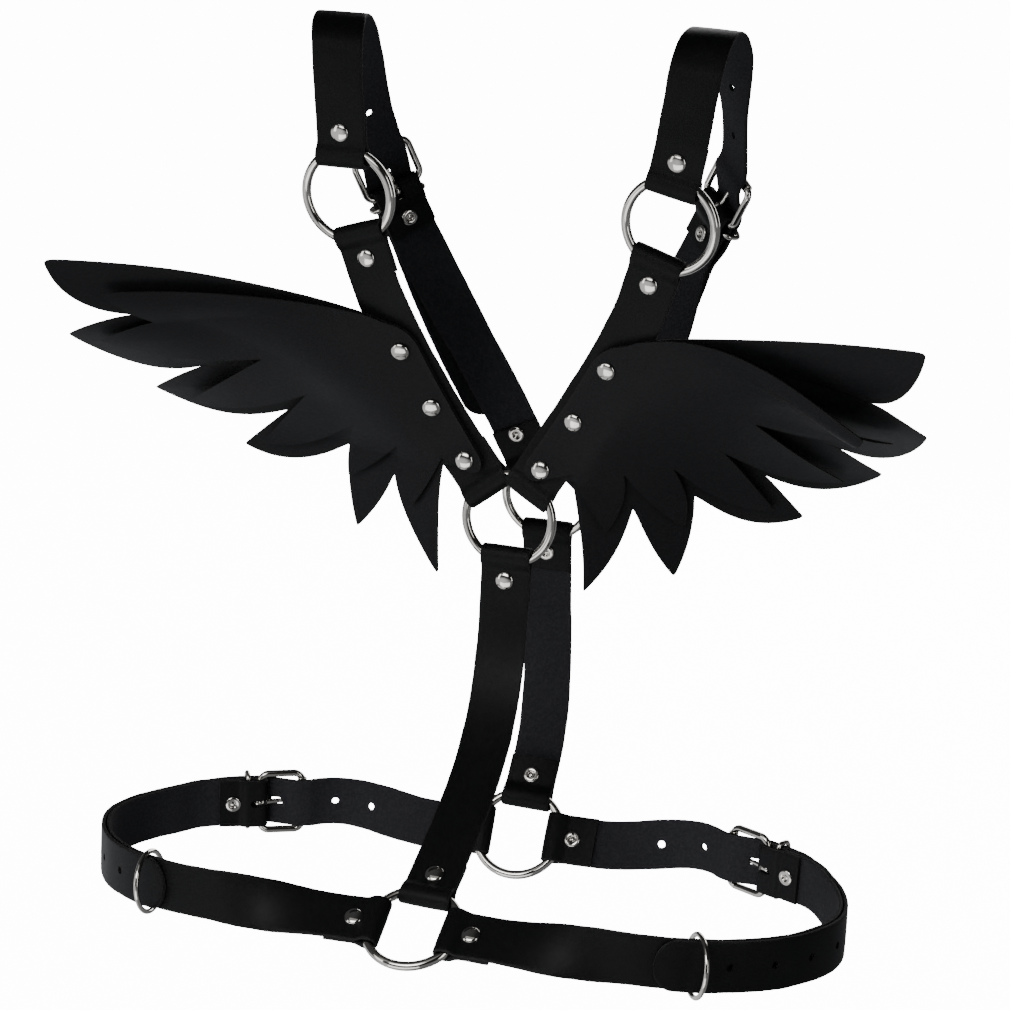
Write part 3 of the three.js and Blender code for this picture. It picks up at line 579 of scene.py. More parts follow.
@dataclass(frozen=True)
class NickelFinish:
    """Polished nickel plate with faint clouding, fine scratches and a warm tint."""

    name: str
    colour: tuple = (0.66, 0.635, 0.595, 1)
    dull_colour: tuple = (0.52, 0.495, 0.455, 1)
    gloss: float = 0.07

    def material(self) -> bpy.types.Material:
        """Builds the material.

        Returns:
            The material.
        """
        n = Nodes(self.name)
        cloud = n.noise(130, 4)
        scratch = n.noise(420, 3, stretch=(1, 1, 9))
        tint = n.mixed(cloud.band(0.4, 0.75), self.colour, self.dull_colour)
        rough = self.gloss + cloud.band(0.4, 0.8) * 0.07 + scratch.band(0.55, 0.8) * 0.06
        height = scratch * 0.5 + cloud * 0.5
        return n.finish(
            {
                "Base Color": tint,
                "Metallic": 1.0,
                "Roughness": rough,
                "Normal": n.bump(height, 0.05, 0.0002),
            }
        )


@dataclass(frozen=True)
class PaperFinish:
    """Matt white paper of the studio floor, lit a little from within."""

    name: str
    colour: tuple = (0.92, 0.92, 0.92, 1)
    glow: float = 14.0

    def material(self) -> bpy.types.Material:
        """Builds the material.

        Returns:
            The material.
        """
        n = Nodes(self.name)
        mottle = n.noise(3, 2)
        tint = n.mixed(mottle, self.colour, (0.90, 0.90, 0.90, 1))
        return n.finish(
            {
                "Base Color": tint,
                "Roughness": 0.9,
                "Emission Color": (1, 1, 1, 1),
                "Emission Strength": self.glow,
            }
        )


@dataclass
class Wardrobe:
    """The finishes by material slot."""

    materials: dict = field(default_factory=dict)

    def hang(self) -> None:
        """Makes every finish once."""
        wing = LeatherFinish("wing_leather", grain_colour=(0.0088, 0.0088, 0.0096, 1), gloss=0.46)
        self.materials = {
            Slot.STRAP: LeatherFinish("strap_leather").material(),
            Slot.WING: wing.material(),
            Slot.METAL: NickelFinish("nickel").material(),
        }

    def dress(self, piece: bpy.types.Object, node: str, slot: Slot) -> None:
        """Gives a piece its finish and its body, and hides the imported node that it stands for.

        Args:
            piece: the piece.
            node: the node's name.
            slot: its material slot.
        """
        piece.data.materials.append(self.materials[slot])
        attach(piece, BODY)
        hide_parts(node)
        LOG.info("%s: %d faces", piece.name, len(piece.data.polygons))


WARDROBE = Wardrobe()


# Straps


@dataclass
class Route:
    """The middle line of a strap: places, the direction across and the half width at each."""

    places: Array
    across: Array
    half: Array

    def then(self, other: "Route") -> "Route":
        """This route followed by another."""
        return Route(
            np.concatenate([self.places, other.places]),
            np.concatenate([self.across, other.across]),
            np.concatenate([self.half, other.half]),
        )

    def back(self) -> "Route":
        """The route walked the other way."""
        return Route(self.places[::-1], -self.across[::-1], self.half[::-1])

    def even(self, spacing: float, soft: float) -> "Route":
        """The route at even steps.

        Args:
            spacing: length of a step.
            soft: Gaussian smoothing of the line, in millimetres.

        Returns:
            The resampled route.
        """
        stations = walked(self.places)
        keep = np.concatenate([[True], np.diff(stations) > 1e-6])
        stations = stations[keep]
        count = int(stations[-1] / spacing) + 1
        where = np.linspace(0, stations[-1], count)
        step = stations[-1] / (count - 1)
        places = blurred(at_distance(self.places[keep], stations, where), soft / step)
        across = blurred(at_distance(self.across[keep], stations, where), 2 * soft / step)
        half = np.interp(where, stations, self.half[keep])
        return Route(places, unit(across), half)


@dataclass
class Hole:
    """A slot with round ends through a strap: its two end centres along the strap, and its radius."""

    start: float
    end: float
    radius: float


@dataclass
class Seat:
    """Where a strap's folded end sits on a wire, and the rivet that closes it."""

    heading: Array
    face: Array
    route: Route
    rivet: Array

    @property
    def exit(self) -> Array:
        """The last place of the folded end."""
        return self.route.places[-1]

    @property
    def across(self) -> Array:
        """The direction across the strap at the folded end."""
        return self.route.across[-1]


def fold(
    place: Array, heading: Array, face: Array, wire: float, tab: float, rivet: float, open_to: float = 0.0
) -> Seat:
    """A strap's end folded round a wire: the tab comes in under the strap, turns and goes out above.

    The line runs straight on the tab, swells from the closed to the open gap as a smooth step, follows a half
    circle round the wire, and repeats that above.

    Args:
        place: the wire's centre.
        heading: direction away from the wire along the strap.
        face: direction of the strap's outer face.
        wire: radius that the fold keeps clear of.
        tab: length of the tab.
        rivet: distance of the rivet from the wire.
        open_to: distance from the wire that the fold stays open for a keeper.

    Returns:
        The folded end, from the tab's end to the strap's run.
    """
    bend = wire + GAP + LEATHER / 2
    opened = max(bend / 2, open_to)
    closed = max(wire + FOLD_REACH, open_to + FOLD_RAMP)
    out = np.linspace(tab, 0, 60, endpoint=False)
    off = CLOSED_OFFSET + (bend - CLOSED_OFFSET) * (1 - ease(out, opened, closed))
    turn = np.linspace(-math.pi / 2, math.pi / 2, 33)
    along = np.concatenate([out, -bend * np.cos(turn), out[::-1]])
    lift = np.concatenate([-off, bend * np.sin(turn), off[::-1]])
    places = place + along[:, None] * heading + lift[:, None] * face
    across = np.broadcast_to(np.cross(heading, face), places.shape)
    route = Route(places, across, np.full(len(places), STRAP_WIDTH / 2))
    return Seat(heading, face, route, place + rivet * heading)


def run_between(start: Seat, end: Seat, pull: float, settle: float, count: int = 160) -> Route:
    """The free run between two folded ends: a cubic Bezier curve that leaves each along its heading.

    Args:
        start: the end that it leaves.
        end: the end that it reaches.
        pull: length of the handles as a share of the distance.
        settle: share of the run over which the strap turns to the other end's face.
        count: samples.

    Returns:
        The run, without its two ends.
    """
    reach = np.linalg.norm(end.exit - start.exit) * pull
    a, d = start.exit, end.exit
    b, c = a + reach * start.heading, d + reach * end.heading
    t = np.linspace(0, 1, count)[1:-1, None]
    places = (1 - t) ** 3 * a + 3 * (1 - t) ** 2 * t * b + 3 * (1 - t) * t**2 * c + t**3 * d
    across = unit(start.across + ease(t, 0, settle) * (-end.across - start.across))
    half = start.route.half[-1] + (end.route.half[-1] - start.route.half[-1]) * ease(t[:, 0], 0.7, 1)
    return Route(places, across, half)


def link(start: Seat, end: Seat, pull: float, settle: float = 1.0) -> Route:
    """A whole strap from one folded end to the other."""
    return start.route.then(run_between(start, end, pull, settle)).then(end.route.back())


@dataclass
class Strap:
    """A leather strap along a route, with rounded cut edges, punched holes and a slight hollow across."""

    name: str
    route: Route
    holes: list = field(default_factory=list)
    seed: float = 0.0
    spacing: float = 0.9
    soft: float = 0.9
    thickness: float = LEATHER
    tip: float = 0.0
    ragged: float = 0.012
    hollow: float = 0.22
    edge_from: float = 11.8
    edge_drop: float = 0.26

    # Columns across one face, from edge to edge: fine in the middle, where the holes are
    COLUMNS = np.array([-12.5, -12.3, -11.8, -10.4, -8.6, -6.8, -5.2, -4.0, -3.2, -2.4, -1.6, -0.8, 0.0])
    RIM = np.array([0.62, 0.0, -0.62])

    def frames(self) -> tuple[Array, Array, Array, Array, Array]:
        """Stations, places, across, face and half widths of the evened route.

        Returns:
            A row of each for every step.
        """
        route = self.route.even(self.spacing, self.soft)
        heading = unit(np.gradient(route.places, axis=0))
        across = squared(route.across, heading)
        return walked(route.places), route.places, across, np.cross(across, heading), route.half

    def build(self) -> bpy.types.Object:
        """Makes the mesh.

        A section of two faces and two rims is carried along the route. Each vertex has a distance along and
        across the strap; those next to a hole are moved onto its outline before they are placed.

        Returns:
            The strap's object.
        """
        stations, places, across, face, half = self.frames()
        widest = STRAP_WIDTH / 2
        column = np.concatenate([self.COLUMNS, -self.COLUMNS[-2::-1]]) / widest
        count, wide = len(stations), len(column)
        length = stations[-1]
        if self.tip > 0:
            left = np.clip((length - stations) / self.tip, 0.0, 1.0)
            half = half * np.maximum(np.sqrt(1 - (1 - left) ** 2), 0.05)
        ragged = 1 + self.ragged * wobble(stations, self.seed, 37.0)
        along = np.repeat(stations[:, None], wide, axis=1)
        aside = (half * ragged)[:, None] * column[None]
        removed = np.zeros((count - 1, wide - 1), bool)
        for hole in self.holes:
            along, aside, gone = self.punched(along, aside, hole)
            removed |= gone
        crown = self.hollow * (aside / widest) ** 2 * (0.7 + 0.5 * wobble(along, self.seed + 3, 90.0))
        edge_share = self.edge_from / widest
        edge = np.maximum(np.abs(column) - edge_share, 0) / (1 - edge_share)
        rounded = self.thickness / 2 - self.edge_drop * edge[None] ** 2
        base = at_distance(places, stations, along)
        side = at_distance(across, stations, along)
        up = at_distance(face, stations, along)
        middle = base + aside[..., None] * side - crown[..., None] * up
        top = middle + rounded[..., None] * up
        bottom = middle - rounded[..., None] * up
        rim_height = self.RIM[:, None] * self.thickness / 2
        swell = 0.09 + 0.05 * wobble(stations, self.seed + 5, 3.1)
        right = self.rim(middle[:, -1], side[:, -1], up[:, -1], rim_height, swell)
        left = self.rim(middle[:, 0], -side[:, 0], up[:, 0], -rim_height, swell)
        section = np.concatenate([top, right, bottom[:, ::-1], left], axis=1)
        faces = self.faces(count, wide, removed)
        marks = self.marks(count, wide, stations, edge)
        return mesh_object(self.name, section.reshape(-1, 3), faces, marks)

    @staticmethod
    def rim(middle: Array, outward: Array, up: Array, heights: Array, swell: Array) -> Array:
        """Points down one cut edge, which stands a little proud of the faces."""
        bulge = swell[:, None, None] * outward[:, None]
        return middle[:, None] + bulge + heights[None] * up[:, None]

    @staticmethod
    def punched(along: Array, aside: Array, hole: Hole) -> tuple[Array, Array, Array]:
        """Moves the vertices round a hole onto its outline.

        Args:
            along: each vertex's distance along the strap.
            aside: each vertex's distance from its middle line.
            hole: the hole.

        Returns:
            The moved distances, and which cells fall inside the hole.
        """
        nearest = np.clip(along, hole.start, hole.end)
        distance = np.hypot(along - nearest, aside)
        centre = (distance[:-1, :-1] + distance[1:, :-1] + distance[:-1, 1:] + distance[1:, 1:]) / 4
        gone = centre < hole.radius
        touched = np.zeros(along.shape, bool)
        kept = np.zeros(along.shape, bool)
        for di, dj in ((0, 0), (1, 0), (0, 1), (1, 1)):
            window = (slice(di, di + gone.shape[0]), slice(dj, dj + gone.shape[1]))
            touched[window] |= gone
            kept[window] |= ~gone
        edge = touched & kept
        pull = np.where(edge, hole.radius / np.maximum(distance, 1e-6), 1.0)
        return nearest + (along - nearest) * pull, aside * pull, gone

    @staticmethod
    def faces(count: int, wide: int, removed: Array) -> list:
        """Faces of the two sides, the rims, the ends and the walls of the holes.

        Args:
            count: sections along the strap.
            wide: columns of one face.
            removed: the cells inside holes.

        Returns:
            Vertex numbers of each face.
        """
        ring = 2 * wide + 6
        quads = grid_faces(count, ring, loop_columns=True).reshape(count - 1, ring, 4)
        open_cells = np.zeros((count - 1, ring), bool)
        open_cells[:, : wide - 1] = removed
        open_cells[:, wide + 3 : 2 * wide + 2] = removed[:, ::-1]
        faces = quads[~open_cells].tolist()
        faces += [list(range(ring)), list(range((count - 1) * ring, count * ring))]
        i, j = np.nonzero(removed[1:] != removed[:-1])
        faces += Strap.walls((i + 1) * ring, j, (i + 1) * ring, j + 1, wide)
        i, j = np.nonzero(removed[:, 1:] != removed[:, :-1])
        faces += Strap.walls(i * ring, j + 1, (i + 1) * ring, j + 1, wide)
        return faces

    @staticmethod
    def walls(row_a: Array, col_a: Array, row_b: Array, col_b: Array, wide: int) -> list:
        """Quads between an edge of the outer face and the same edge of the inner face.

        Args:
            row_a: first vertex of the section at one end.
            col_a: column at that end.
            row_b: first vertex of the section at the other end.
            col_b: column at that end.
            wide: columns of one face.

        Returns:
            Vertex numbers of each quad.
        """
        under = 2 * wide + 2
        corners = [row_a + col_a, row_b + col_b, row_b + under - col_b, row_a + under - col_a]
        return np.stack(corners, axis=-1).tolist()

    def marks(self, count: int, wide: int, stations: Array, edge: Array) -> dict[str, Array]:
        """Values per vertex: 1 on the inner face, on the cut edges, and near the folds.

        Args:
            count: sections along the strap.
            wide: columns of one face.
            stations: distance of each section.
            edge: nearness of each column to the edge.

        Returns:
            The values by name.
        """
        row_flesh = np.concatenate([np.zeros(wide), [0.3, 0.5, 0.7], np.ones(wide), [0.7, 0.5, 0.3]])
        row_rim = np.concatenate([edge**2 * 0.5, np.ones(3), edge[::-1] ** 2 * 0.5, np.ones(3)])
        ends = np.minimum(stations, stations[-1] - stations)
        bend = np.exp(-(((ends - TAB_LENGTH) / 6.0) ** 2))
        shape = (count, 2 * wide + 6)
        return {
            "flesh": np.broadcast_to(row_flesh, shape).ravel(),
            "rim": np.broadcast_to(row_rim, shape).ravel(),
            "fold": np.broadcast_to(bend[:, None], shape).ravel(),
        }


# Hardware


@dataclass
class RingFrame:
    """A ring's place and its own directions."""

    place: Array
    outward: Array
    up: Array
    right: Array = field(default_factory=lambda: vec(1, 0, 0))

    @classmethod
    def leaning(cls, place: tuple, face: int, lean: float, yaw: float = 0.0) -> "RingFrame":
        """A ring that faces the back (-1) or the chest (1), leaning and turned by degrees.

        Args:
            place: its centre.
            face: the side that it faces.
            lean: tilt of its face above the horizon.
            yaw: turn about the vertical.

        Returns:
            The ring's frame.
        """
        tilt, turn = math.radians(lean), math.radians(yaw)
        right = vec(math.cos(turn), math.sin(turn), 0)
        level = vec(-math.sin(turn), math.cos(turn), 0)
        outward = face * math.cos(tilt) * level + vec(0, 0, math.sin(tilt))
        up = -face * math.sin(tilt) * level + vec(0, 0, math.cos(tilt))
        return cls(vec(*place), outward, up, right)

    def spoke(self, degrees: float) -> Array:
        """Direction in the ring's plane, at an angle from straight up towards +X."""
        angle = math.radians(degrees)
        return math.cos(angle) * self.up + math.sin(angle) * self.right

    def strap_end(self, degrees: float, rivet: float = RING_RIVET, turn: float = 0.0) -> Seat:
        """A strap's end folded over the ring.

        Args:
            degrees: where it sits, from straight up towards +X.
            rivet: distance of the rivet from the wire.
            turn: how far the strap heads off the ring's spoke, in degrees.

        Returns:
            The folded end.
        """
        place = self.place + self.spoke(degrees) * math.sqrt(RING_RADIUS**2 - STRAP_WIDTH**2 / 4)
        heading = self.spoke(degrees + turn)
        return fold(place, heading, self.outward, RING_WIRE + RING_SLACK, TAB_LENGTH, rivet)


@dataclass
class WireRing:
    """A welded wire ring, round or pressed flat."""

    name: str
    place: Array
    axis: Array
    radius: float = RING_RADIUS
    wire: float = RING_WIRE
    across: Array = field(default_factory=lambda: vec(0.3, 0.2, 0.93))
    flat: float = 1.0
    corner: float = 1.0

    def build(self) -> None:
        """The wire along cosine and sine of an angle, each raised to the corner's power and signed."""
        x = squared(self.across, unit(self.axis))
        y = np.cross(unit(self.axis), x)
        angle = np.linspace(0, 2 * math.pi, 160, endpoint=False)[:, None] + 0.01
        wide = np.sign(np.cos(angle)) * np.abs(np.cos(angle)) ** self.corner
        high = np.sign(np.sin(angle)) * np.abs(np.sin(angle)) ** self.corner
        centres = self.place + self.radius * (wide * x + self.flat * high * y)
        points, faces = looped(centres, unit(self.axis), self.wire, 28)
        piece = mesh_object(self.name, points, faces)
        WARDROBE.dress(piece, self.name.removeprefix("dressed_"), Slot.METAL)


@dataclass
class Rivet:
    """A double-cap rivet: domed outside; inside, a rolled collar round a dimple."""

    name: str
    place: Array
    axis: Array
    layers: float
    cap_radius: float = 4.6
    cap_height: float = 1.75
    back_radius: float = 4.2
    back_height: float = 1.1
    shank: float = 1.5
    cap_wall: float = 0.28
    collar_wall: float = 0.12
    seat: float = 0.02

    def build(self) -> None:
        """Turns the profile: dimple, collar, shank, and a dome that follows a flattened ellipse."""
        top = self.layers / 2 + self.seat
        low = -self.layers / 2 - self.seat
        roll = np.linspace(0, math.pi, 13)[:, None]
        ring_middle = self.back_radius * 0.66
        ring_half = self.back_radius * 0.34
        collar_rise = self.collar_wall + (self.back_height - self.collar_wall) * np.sin(roll) ** 0.8
        collar = np.hstack([ring_middle - ring_half * np.cos(roll), low - collar_rise])
        turn = np.linspace(0, math.pi / 2, 18)[:, None]
        dome_rise = self.cap_wall + (self.cap_height - self.cap_wall) * np.sin(turn) ** 1.15
        dome = np.hstack([self.cap_radius * np.cos(turn) ** 0.85, top + dome_rise])
        dome[-1, 0] = 0.0
        edge = np.array([[self.cap_radius - 0.22, top], [self.cap_radius - 0.04, top + 0.10]])
        stem = np.array([[self.back_radius - 0.2, low], [self.shank, low], [self.shank, top]])
        dimple = np.array([[0.0, low - 0.45], [0.7, low - 0.38], [1.15, low - 0.16]])
        profile = np.concatenate([dimple, collar, stem, edge, dome])
        points, faces = revolved(profile, self.place, self.axis, 48)
        piece = mesh_object(self.name, points, faces)
        WARDROBE.dress(piece, self.name.removeprefix("dressed_"), Slot.METAL)


@dataclass
class Buckle:
    """A roller buckle of bent wire, its roller and its prong, on a heel bar."""

    label: str
    place: Array
    heading: Array
    face: Array
    corner: float = 4.5
    roller_length: float = 25.6

    @property
    def side(self) -> Array:
        """Direction along the heel bar."""
        return np.cross(self.face, self.heading)

    def at(self, out: Array, aside: Array, off: Array) -> Array:
        """Places from distances along the heading, along the bar and off the face."""
        out, aside, off = (np.asarray(v, float)[..., None] for v in (out, aside, off))
        return self.place + out * self.heading + aside * self.side + off * self.face

    def strap_end(self, tab: float = HEEL_TAB, rivet: float = HEEL_RIVET) -> Seat:
        """The strap folded round the heel bar."""
        open_to = KEEPER_SEAT + KEEPER_WIRE + 0.2
        return fold(self.place, self.heading, self.face, BUCKLE_WIRE + 0.1, tab, rivet, open_to)

    def add_keeper(self, name: str) -> None:
        """A keeper pressed flat: one side lies inside the strap's fold, the other over the tail.

        Args:
            name: the keeper's name.
        """
        rise, half = 4.5, KEEPER_RADIUS - 0.2
        place = self.at(KEEPER_SEAT, 0.0, rise)
        ring = WireRing(f"dressed_keeper_{name}", place, self.heading, half, KEEPER_WIRE)
        ring.across, ring.flat, ring.corner = self.side, rise / half, 0.45
        ring.build()

    def frame_shell(self) -> tuple[Array, list]:
        """Wire along a rectangle with round corners: straight sides joined by quarter circles.

        Returns:
            Vertices and faces of the frame.
        """
        half, far, c = BUCKLE_WIDTH / 2, -BUCKLE_LENGTH, self.corner
        near_x, far_x, edge = -c, far + c, half - c
        corners = ((near_x, edge), (far_x, edge), (far_x, -edge), (near_x, -edge))
        arcs = []
        for quarter, (x, y) in enumerate(corners):
            turn = np.radians(np.linspace(0, 90, 12) + 90 * quarter)
            arcs.append(np.stack([x + c * np.cos(turn), y + c * np.sin(turn)], axis=-1))
        outline = np.concatenate(arcs)
        return looped(self.at(outline[:, 0], outline[:, 1], 0.0 * outline[:, 0]), self.face, BUCKLE_WIRE, 20)

    def roller_shell(self) -> tuple[Array, list]:
        """A tube with rounded lips turned about the far bar.

        Returns:
            Vertices and faces of the roller.
        """
        reach = self.roller_length / 2
        lip = np.array([[1.62, 0.25], [1.85, 0.04], [2.15, 0.0], [2.35, 0.1], [ROLLER_RADIUS, 0.4]])
        low = np.stack([lip[:, 0], -reach + lip[:, 1]], axis=-1)
        high = np.stack([lip[::-1, 0], reach - lip[::-1, 1]], axis=-1)
        ends = np.array([[0.0, -reach + 0.25]]), np.array([[0.0, reach - 0.25]])
        profile = np.concatenate([ends[0], low, high, ends[1]])
        return revolved(profile, self.at(-BUCKLE_LENGTH, 0.0, 0.0), self.side, 40)

    def prong_shell(self) -> tuple[Array, list]:
        """A flat finger that starts as an eye round the heel bar, rises to the roller and dips over it.

        Returns:
            Vertices and faces of the prong.
        """
        eye = BUCKLE_WIRE + 0.35 + 0.75
        turn = np.radians(np.linspace(235, -62, 34))
        curl = np.stack([-eye * np.cos(turn), eye * np.sin(turn)], axis=-1)[::-1]
        out = np.linspace(-4.4, -BUCKLE_LENGTH - 4.2, 40)
        rise = -PRONG_RISE * out + 0.55 * np.sin(np.pi * out / BUCKLE_LENGTH)
        rise -= 0.9 * ease(-out, BUCKLE_LENGTH - 1, BUCKLE_LENGTH + 4.5)
        line = spline(np.concatenate([curl[::4], np.stack([out, rise], axis=-1)]), 8)
        total = walked(line)
        centres = self.at(line[:, 0], 0.0 * total, line[:, 1])
        sides = np.broadcast_to(self.side, centres.shape)
        tops = np.cross(unit(np.gradient(centres, axis=0)), sides)
        left = total[-1] - total
        round_off = np.sqrt(np.clip(1 - (1 - np.clip(left / 1.3, 0, 1)) ** 2, 0.03, 1))
        width = (1.15 + 0.35 * ease(left, 16, 28)) * round_off
        height = (0.95 - 0.2 * ease(left, 24, 30)) * round_off
        return swept(centres, sides, tops, width, height, 20)

    def build(self) -> None:
        """Makes the frame with its roller, and the prong."""
        points, faces = merged(self.frame_shell(), self.roller_shell())
        frame_piece = mesh_object(f"dressed_buckle_{self.label}", points, faces)
        WARDROBE.dress(frame_piece, f"buckle_{self.label}", Slot.METAL)
        points, faces = self.prong_shell()
        prong_piece = mesh_object(f"dressed_prong_{self.label}", points, faces)
        WARDROBE.dress(prong_piece, f"prong_{self.label}", Slot.METAL)


def add_strap(strap: Strap) -> None:
    """Builds a strap and gives it its leather."""
    WARDROBE.dress(strap.build(), strap.name.removeprefix("dressed_"), Slot.STRAP)


def add_rivet(name: str, place: Array, axis: Array, layers: float) -> None:
    """Builds one rivet."""
    Rivet(f"dressed_rivet_{name}", place, axis, layers).build()


def add_ring(name: str, place: Array, axis: Array) -> None:
    """Builds one large ring."""
    WireRing(f"dressed_ring_{name}", place, axis).build()


def heel_station(strap: Strap, buckle: Buckle) -> float:
    """Distance along a strap at which it passes over a buckle's heel bar."""
    stations, places, _, _, _ = strap.frames()
    return stations[np.argmin(np.linalg.norm(places - buckle.at(0.0, 0.0, OVER_HEEL), axis=1))]


def used_hole(heel: float) -> Hole:
    """The hole that a prong goes through, drawn a little long."""
    return Hole(heel + USED_HOLE - USED_HALF, heel + USED_HOLE + USED_HALF, SLOT_RADIUS)


def held_offset(past: Array) -> Array:
    """How far outside its line a strap runs where a buckle holds it, by the distance past the heel bar.

    Args:
        past: distances past the heel bar.

    Returns:
        Distances along the buckle's face.
    """
    table = np.array(
        [
            [-40, CLOSED_OFFSET],
            [-34, CLOSED_OFFSET],
            [-26, UNDER_ROLLER],
            [-19.5, UNDER_ROLLER],
            [-2.5, OVER_HEEL],
            [17.5, OVER_HEEL],
            [27, TAIL_OFFSET],
        ]
    )
    return np.interp(past, table[:, 0], table[:, 1])


# Sub-assemblies


@dataclass(frozen=True)
class Hang:
    """How one side hangs: its small departures from the mirror image of the other.

    Angles are degrees from straight up on a ring, and distances are along the straps.
    """

    shoulder_angle: float
    shoulder_turn: float
    wing_angle: float
    wing_rivet: float
    chest_angle: float
    chest_rivet: float
    buckle_turn: float
    heel: tuple
    heading: tuple
    tail_length: float
    tail_swing: float
    free_holes: tuple
    front_droop: float
    top_rise: float
    top_back: float
    curl_gain: tuple
    tail_x: float
    tail_keeper: float
    keeper_turn: float
    belt_angle: float
    belt_rise: float
    belt_holes: tuple
    crest: tuple


HANGS = {
    Side.LEFT: Hang(
        shoulder_angle=8.0,
        shoulder_turn=-7.0,
        wing_angle=38.5,
        wing_rivet=17.5,
        chest_angle=26.0,
        chest_rivet=18.5,
        buckle_turn=40.0,
        heel=(81.5, 67.5, -93.5),
        heading=(-0.34, 0.31, -0.89),
        tail_length=140.0,
        tail_swing=14.0,
        free_holes=(-74.0, -46.5, 34.0, 61.5, 89.0, 116.5),
        front_droop=0.0,
        top_rise=2.4,
        top_back=3.0,
        curl_gain=(0.55, 1.05, 1.5, 1.3, 1.0, 1.0),
        tail_x=124.0,
        tail_keeper=12.0,
        keeper_turn=27.0,
        belt_angle=92.0,
        belt_rise=-2.5,
        belt_holes=(-61.5, -41.5),
        crest=(
            (83.5, -25, -26),
            (84.5, -24, -10),
            (87, -15, -2),
            (90, 2, -1),
            (93, 23, -11),
            (93, 40, -35),
            (91, 52, -58),
        ),
    ),
    Side.RIGHT: Hang(
        shoulder_angle=3.0,
        shoulder_turn=9.0,
        wing_angle=31.0,
        wing_rivet=14.5,
        chest_angle=43.0,
        chest_rivet=17.0,
        buckle_turn=48.0,
        heel=(84.5, 66.0, -88.0),
        heading=(-0.42, 0.28, -0.863),
        tail_length=112.0,
        tail_swing=-1.0,
        free_holes=(-74.0, -46.5, 34.0, 61.5, 89.0),
        front_droop=32.0,
        top_rise=0.0,
        top_back=6.0,
        curl_gain=(1.15, 1.0, 1.0, 1.0, 1.0, 1.0),
        tail_x=114.0,
        tail_keeper=20.0,
        keeper_turn=0.0,
        belt_angle=89.5,
        belt_rise=1.5,
        belt_holes=(-64.5, -41.0),
        crest=(
            (87, -25, -26),
            (89, -24, -10),
            (90.5, -14, 1.5),
            (92, 5, 4.5),
            (94, 24, -6),
            (94, 39, -30),
            (94, 49, -50),
        ),
    ),
}


@dataclass
class Centre:
    """The four rings on the middle line, and the spine and sternum straps between them."""

    back: RingFrame = field(default_factory=lambda: RingFrame.leaning((1, 13, -242.4), -1, 0, -3))
    chest: RingFrame = field(default_factory=lambda: RingFrame.leaning((0.5, 88.5, -248), 1, 10))
    waist_back: RingFrame = field(default_factory=lambda: RingFrame.leaning((-1, -114, -411), -1, 58, -3))
    waist_front: RingFrame = field(default_factory=lambda: RingFrame.leaning((3, 56.5, -420.8), 1, -34))
    spine_pull: float = 0.42
    sternum_pull: float = 0.34
    spine_angle: float = 1.5
    sternum_angle: float = 2.0

    def build(self) -> None:
        """Makes the rings, the two straps and their rivets."""
        rings = {
            "back": self.back,
            "chest": self.chest,
            "waist_back": self.waist_back,
            "waist_front": self.waist_front,
        }
        for name, ring in rings.items():
            add_ring(name, ring.place, ring.outward)
        spans = {
            "spine": (self.back, self.waist_back, self.spine_angle, self.spine_pull),
            "sternum": (self.chest, self.waist_front, self.sternum_angle, self.sternum_pull),
        }
        for seed, (name, (upper, lower, angle, pull)) in enumerate(spans.items()):
            top, low = upper.strap_end(180), lower.strap_end(angle)
            add_strap(Strap(f"dressed_strap_{name}", link(top, low, pull), seed=1.7 + seed))
            add_rivet(f"{name}_top", top.rivet, top.face, DOUBLE)
            add_rivet(f"{name}_low", low.rivet, low.face, DOUBLE)


